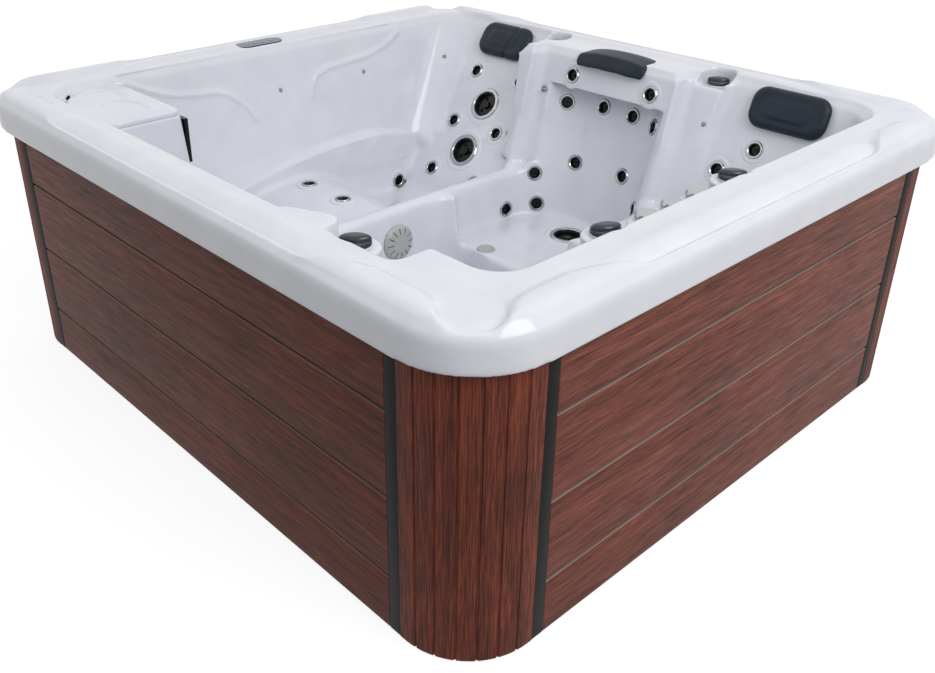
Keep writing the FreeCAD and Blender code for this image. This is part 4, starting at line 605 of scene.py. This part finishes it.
def makeDishes(form):
    rings = []
    for kind, jets in (("small", smallJets), ("large", largeJets)):
        pattern = turnedRing("dish_" + kind, form[kind], form["steps"])
        for middle, axis, _, top in jets:
            ring = bpy.data.objects.new("dish", pattern.data.copy())
            bpy.context.scene.collection.objects.link(ring)
            turn = Vector(axis).to_track_quat("Z", "Y").to_matrix().to_4x4()
            foot = Vector(middle) + Vector(axis) * (top - form["seat"])
            ring.matrix_world = Matrix.Translation(foot) @ turn
            rings.append(ring)
        bpy.data.objects.remove(pattern)
    only(*rings)
    bpy.ops.object.transform_apply(location=True, rotation=True, scale=True)
    bpy.ops.object.join()
    dishes = bpy.context.view_layer.objects.active
    dishes.name = dishes.data.name = "jet_dishes"
    smoothShade(dishes, 60)
    return handOver(dishes, acrylic, "acrylic")


makeDishes(dishForm)
print("dishes round", len(smallJets) + len(largeJets), "jets")


# Cabinet boards and strips with eased edges; the slatted corners keep their CAD form
cabinetForm = {"boardEdge": 0.0028, "boardSegments": 3, "stripEdge": 0.0016, "stripSegments": 2}


def easedCopy(node, name, width, material, slot, segments):
    piece = nodeCopy(node, name)
    edit(piece)
    bpy.ops.mesh.dissolve_limited(angle_limit=math.radians(2))
    leave()
    shaped(piece, "BEVEL", width=width, segments=segments, limit_method="ANGLE", angle_limit=math.radians(35),
           harden_normals=False)
    smoothShade(piece, 40)
    return handOver(piece, material, slot, node)


for side, material in (("front", boardAlongX), ("back", boardAlongX), ("left", boardAlongY), ("right", boardAlongY)):
    easedCopy(side + "_boards", side + "_cladding", cabinetForm["boardEdge"], material, "cabinet_boards",
              cabinetForm["boardSegments"])
for cornerName in ("front_right", "front_left", "back_right", "back_left"):
    nodes[cornerName + "_corner"].material_slots[0].material = slatUpright
easedCopy("corner_strips", "seam_strips", cabinetForm["stripEdge"], finishes["strip_plastic"], "strip_plastic",
          cabinetForm["stripSegments"])
print("cabinet clad")


# Pillows: skinned foam headrests, swollen and drawn in at their edges
pillowForm = {"voxel": 0.004, "softening": 22, "crease": 0.0045, "creaseShare": 0.62, "creaseWidth": 0.006,
              "creaseLean": 0.02, "arch": 0.012, "droop": 0.010, "drawIn": 0.012, "settling": 8}


def makePillow(node, name, form, creased=False, saddle=False):
    piece = nodeCopy(node, name)
    shaped(piece, "REMESH", mode="VOXEL", voxel_size=form["voxel"], use_smooth_shade=True)
    shaped(piece, "SMOOTH", factor=0.5, iterations=form["softening"])
    if creased:
        spots, normals = vertexArrays(piece)
        low, high = spots.min(0), spots.max(0)
        lean = form["creaseLean"] * (spots[:, 2] - low[2]) / (high[2] - low[2])
        line = low[0] + (high[0] - low[0]) * form["creaseShare"] + lean
        dent = form["crease"] * np.exp(-((spots[:, 0] - line) / form["creaseWidth"]) ** 2)
        spots -= normals * dent[:, None]
        putBack(piece, spots)
    if saddle:
        # draped over the collar: its lower edge arches up in the middle, its ends hang and draw in
        spots, _ = vertexArrays(piece)
        low, high = spots.min(0), spots.max(0)
        along = (spots[:, 0] - (low[0] + high[0]) / 2) / (high[0] - low[0]) * 2
        up = (spots[:, 2] - low[2]) / (high[2] - low[2])
        spots[:, 2] += form["arch"] * (1 - along ** 2) * (1 - up)
        spots[:, 2] -= form["droop"] * np.abs(along) ** 3 * up
        spots[:, 0] -= form["drawIn"] * np.sign(along) * np.abs(along) * np.abs(up - 0.5) ** 2 * 4
        putBack(piece, spots)
        shaped(piece, "SMOOTH", factor=0.5, iterations=form["settling"])
    smoothShade(piece, 60)
    handOver(piece, finishes["pillow_foam"], "pillow_foam", node)
    return piece


makePillow("lounger_pillow", "lounger_headrest", pillowForm, creased=True)
makePillow("corner_pillow", "corner_headrest", pillowForm)
makePillow("centre_pillow", "saddle_headrest", pillowForm, saddle=True)
print("pillows made")


# Knobs: a low round cap with a glossy almond across it for the thumb
knobForm = {"steps": 48, "sunk": 0.022, "almondLength": 0.0355, "almondWidth": 0.0185, "almondHeight": 0.0115,
            "almondFoot": 0.0105,
            "cap": [(0.0, -0.004), (0.0355, -0.004), (0.0355, 0.0075), (0.0345, 0.0098), (0.030, 0.0112),
                    (0.0, 0.0125)],
            # degrees that each almond lies turned at rest
            "turned": {"diverter_knob_1": 45, "diverter_knob_2": 62, "diverter_knob_3": 40, "diverter_knob_4": 30,
                       "diverter_knob_5": 30}}


def makeKnob(node, form):
    low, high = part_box(node)
    middle = ((low.x + high.x) / 2, (low.y + high.y) / 2, high.z - form["sunk"])
    foot = form["almondFoot"]
    cap = turnedRing(node + "_cap", form["cap"], form["steps"])
    only(cap)
    bpy.ops.mesh.primitive_uv_sphere_add(segments=40, ring_count=16, radius=1, location=(0, 0, foot))
    almond = bpy.context.object
    almond.scale = (form["almondLength"], form["almondWidth"], form["almondHeight"])
    edit(almond)
    bpy.ops.mesh.bisect(plane_co=(0, 0, foot), plane_no=(0, 0, 1), clear_inner=True, use_fill=True)
    leave()
    place(almond)
    # its ends drawn to points and its top flattened
    spots, _ = vertexArrays(almond)
    spots[:, 1] *= np.sqrt(np.clip(1.02 - (spots[:, 0] / form["almondLength"]) ** 2, 0.02, 1)) ** 0.6
    rise = (spots[:, 2] - foot) / form["almondHeight"]
    spots[:, 2] = foot + form["almondHeight"] * np.sin(np.clip(rise, 0, 1) * math.pi / 2) ** 0.8
    putBack(almond, spots)
    only(almond, cap)
    bpy.context.view_layer.objects.active = cap
    bpy.ops.object.join()
    cap.rotation_euler = (0, 0, math.radians(form["turned"][node]))
    cap.location = middle
    place(cap)
    edit(cap)
    bpy.ops.mesh.normals_make_consistent(inside=False)
    leave()
    smoothShade(cap, 40)
    return handOver(cap, finishes["knob_grey"], "knob_grey", node)


for knobName in knobForm["turned"]:
    makeKnob(knobName, knobForm)
print("knobs made")


# Lid of the filter compartment with crescents moulded in its top
lidForm = {
    "voxel": 0.003, "softening": 5, "rise": 0.0045, "width": 0.0075, "topDepth": 0.004, "keptShare": 0.35,
    "crescents": [
        [(-0.8889, -0.7525), (-0.9077, -0.7238), (-0.9088, -0.6999), (-0.8918, -0.6778), (-0.8674, -0.6627),
         (-0.8246, -0.6571), (-0.7746, -0.6591)],
        [(-0.7317, -0.7531), (-0.7464, -0.7231), (-0.7446, -0.6977), (-0.7261, -0.6774), (-0.6932, -0.6646),
         (-0.6486, -0.6617), (-0.6080, -0.6682)],
        [(-0.5500, -0.757), (-0.5698, -0.7231), (-0.5767, -0.6871), (-0.5702, -0.658), (-0.5582, -0.6315)],
    ],
}


def awayFrom(line, spots):
    # distance in plan from a line of points
    nearest = np.full(len(spots), 9.0)
    for here, there in zip(np.array(line[:-1]), np.array(line[1:])):
        step = there - here
        share = np.clip((spots[:, :2] - here) @ step / (step @ step), 0, 1)
        nearest = np.minimum(nearest, np.linalg.norm(spots[:, :2] - here - share[:, None] * step, axis=1))
    return nearest


def makeLid(form):
    lid = nodeCopy("filter_lid", "filter_cover")
    shaped(lid, "REMESH", mode="VOXEL", voxel_size=form["voxel"], use_smooth_shade=True)
    shaped(lid, "SMOOTH", factor=0.5, iterations=form["softening"])
    spots, normals = vertexArrays(lid)
    top = (normals[:, 2] > 0.7) & (spots[:, 2] > spots[:, 2].max() - form["topDepth"])
    for line in form["crescents"]:
        spots[:, 2] += top * form["rise"] * np.exp(-(awayFrom(line, spots) / form["width"]) ** 2)
    putBack(lid, spots)
    shaped(lid, "DECIMATE", ratio=form["keptShare"])
    smoothShade(lid, 60)
    return handOver(lid, acrylic, "acrylic", "filter_lid")


makeLid(lidForm)
print("lid made")


# Studio: white floor and backdrop, an overhead sky that dims to the sides, soft lamps, the photograph's camera
studio = {"floor": "#8d8d8d", "floorSize": 60, "floorGlow": 0.80, "zenith": 0.90, "side": 0.26,
          "key": {"place": (4.4, -0.4, 3.6), "aim": (0.2, 0, 0.4), "size": (3, 3), "power": 130},
          "fill": {"place": (-3.5, -3.5, 4.0), "aim": (0, 0, 0.5), "size": (3, 3), "power": 14}}


def seenRays(material):
    # rays on which the white surroundings are looked at, directly, in a reflection or through glass
    rays = addNode(material, "ShaderNodeLightPath")
    either = addNode(material, "ShaderNodeMath", {"operation": "MAXIMUM"},
                     {0: rays.outputs["Is Camera Ray"], 1: rays.outputs["Is Glossy Ray"]})
    anyOf = addNode(material, "ShaderNodeMath", {"operation": "MAXIMUM"},
                    {0: either.outputs["Value"], 1: rays.outputs["Is Transmission Ray"]})
    return anyOf.outputs["Value"]


bpy.ops.object.select_all(action="DESELECT")
bpy.ops.mesh.primitive_plane_add(size=studio["floorSize"], location=(0, 0, 0))
floor = bpy.context.object
floor.name = "studio_floor"
floorMaterial, floorShader = newMaterial("paleFloor", Base_Color=linear(studio["floor"]), Roughness=0.95,
                                         Specular_IOR_Level=0.0)
seenShare = seenRays(floorMaterial)
glow = addNode(floorMaterial, "ShaderNodeMath", {"operation": "MULTIPLY", 1: studio["floorGlow"]}, {0: seenShare})
join(floorMaterial, glow.outputs["Value"], floorShader, "Emission Strength")
floorShader.inputs["Emission Color"].default_value = (1, 1, 1, 1)
floor.data.materials.append(floorMaterial)

world = bpy.data.worlds.new("studioWorld")
bpy.context.scene.world = world
world.use_nodes = True
direction = addNode(world, "ShaderNodeTexCoord")
height = addNode(world, "ShaderNodeSeparateXYZ", links={0: direction.outputs["Generated"]})
sky = rampNode(world, height.outputs["Z"],
               [(0.0, studio["side"]), (0.25, studio["side"] * 1.5), (0.75, studio["zenith"])])
background = world.node_tree.nodes["Background"]
join(world, sky.outputs["Color"], background, "Color")
background.inputs["Strength"].default_value = 1.0
seen = addNode(world, "ShaderNodeBackground", {"Color": (1, 1, 1, 1), "Strength": 1.0})
seenShare = seenRays(world)
mixed = addNode(world, "ShaderNodeMixShader", links={0: seenShare, 1: background.outputs["Background"],
                                                     2: seen.outputs["Background"]})
join(world, mixed.outputs["Shader"], world.node_tree.nodes["World Output"], "Surface")


def softLamp(name, place, aim, size, power):
    lamp = bpy.data.lights.new(name, "AREA")
    lamp.shape = "RECTANGLE"
    lamp.size, lamp.size_y = size
    lamp.energy = power
    obj = bpy.data.objects.new(name, lamp)
    bpy.context.scene.collection.objects.link(obj)
    obj.location = place
    obj.rotation_euler = (Vector(aim) - Vector(place)).to_track_quat("-Z", "Y").to_euler()


softLamp("keyLamp", **studio["key"])
softLamp("fillLamp", **studio["fill"])

# degrees, metres, and pixels of the photograph's frame
cameraSetup = {"azimuth": 46.9229, "elevation": 27.503, "roll": 0.235, "place": (2.0882, -1.9947, 1.6796),
               "focal": 987.88, "centre": (441.1955, 295.9411), "frame": (935, 673), "sensor": 36}


def photoCamera(c):
    camera = bpy.data.cameras.new("photoCamera")
    obj = bpy.data.objects.new("photoCamera", camera)
    bpy.context.scene.collection.objects.link(obj)
    az, el = math.radians(c["azimuth"]), math.radians(c["elevation"])
    back = Vector((math.sin(az) * math.cos(el), -math.cos(az) * math.cos(el), math.sin(el)))
    right = Vector((math.cos(az), math.sin(az), 0))
    turn = Matrix((right, back.cross(right), back)).transposed()
    obj.rotation_euler = (turn @ Matrix.Rotation(math.radians(c["roll"]), 3, "Z")).to_euler()
    obj.location = c["place"]
    wide, high = c["frame"]
    camera.sensor_width = c["sensor"]
    camera.lens = c["focal"] * c["sensor"] / wide
    camera.shift_x = (wide / 2 - c["centre"][0]) / wide
    camera.shift_y = (c["centre"][1] - high / 2) / wide
    bpy.context.scene.camera = obj


photoCamera(cameraSetup)
bpy.context.scene.view_settings.view_transform = "Standard"
print("studio set")
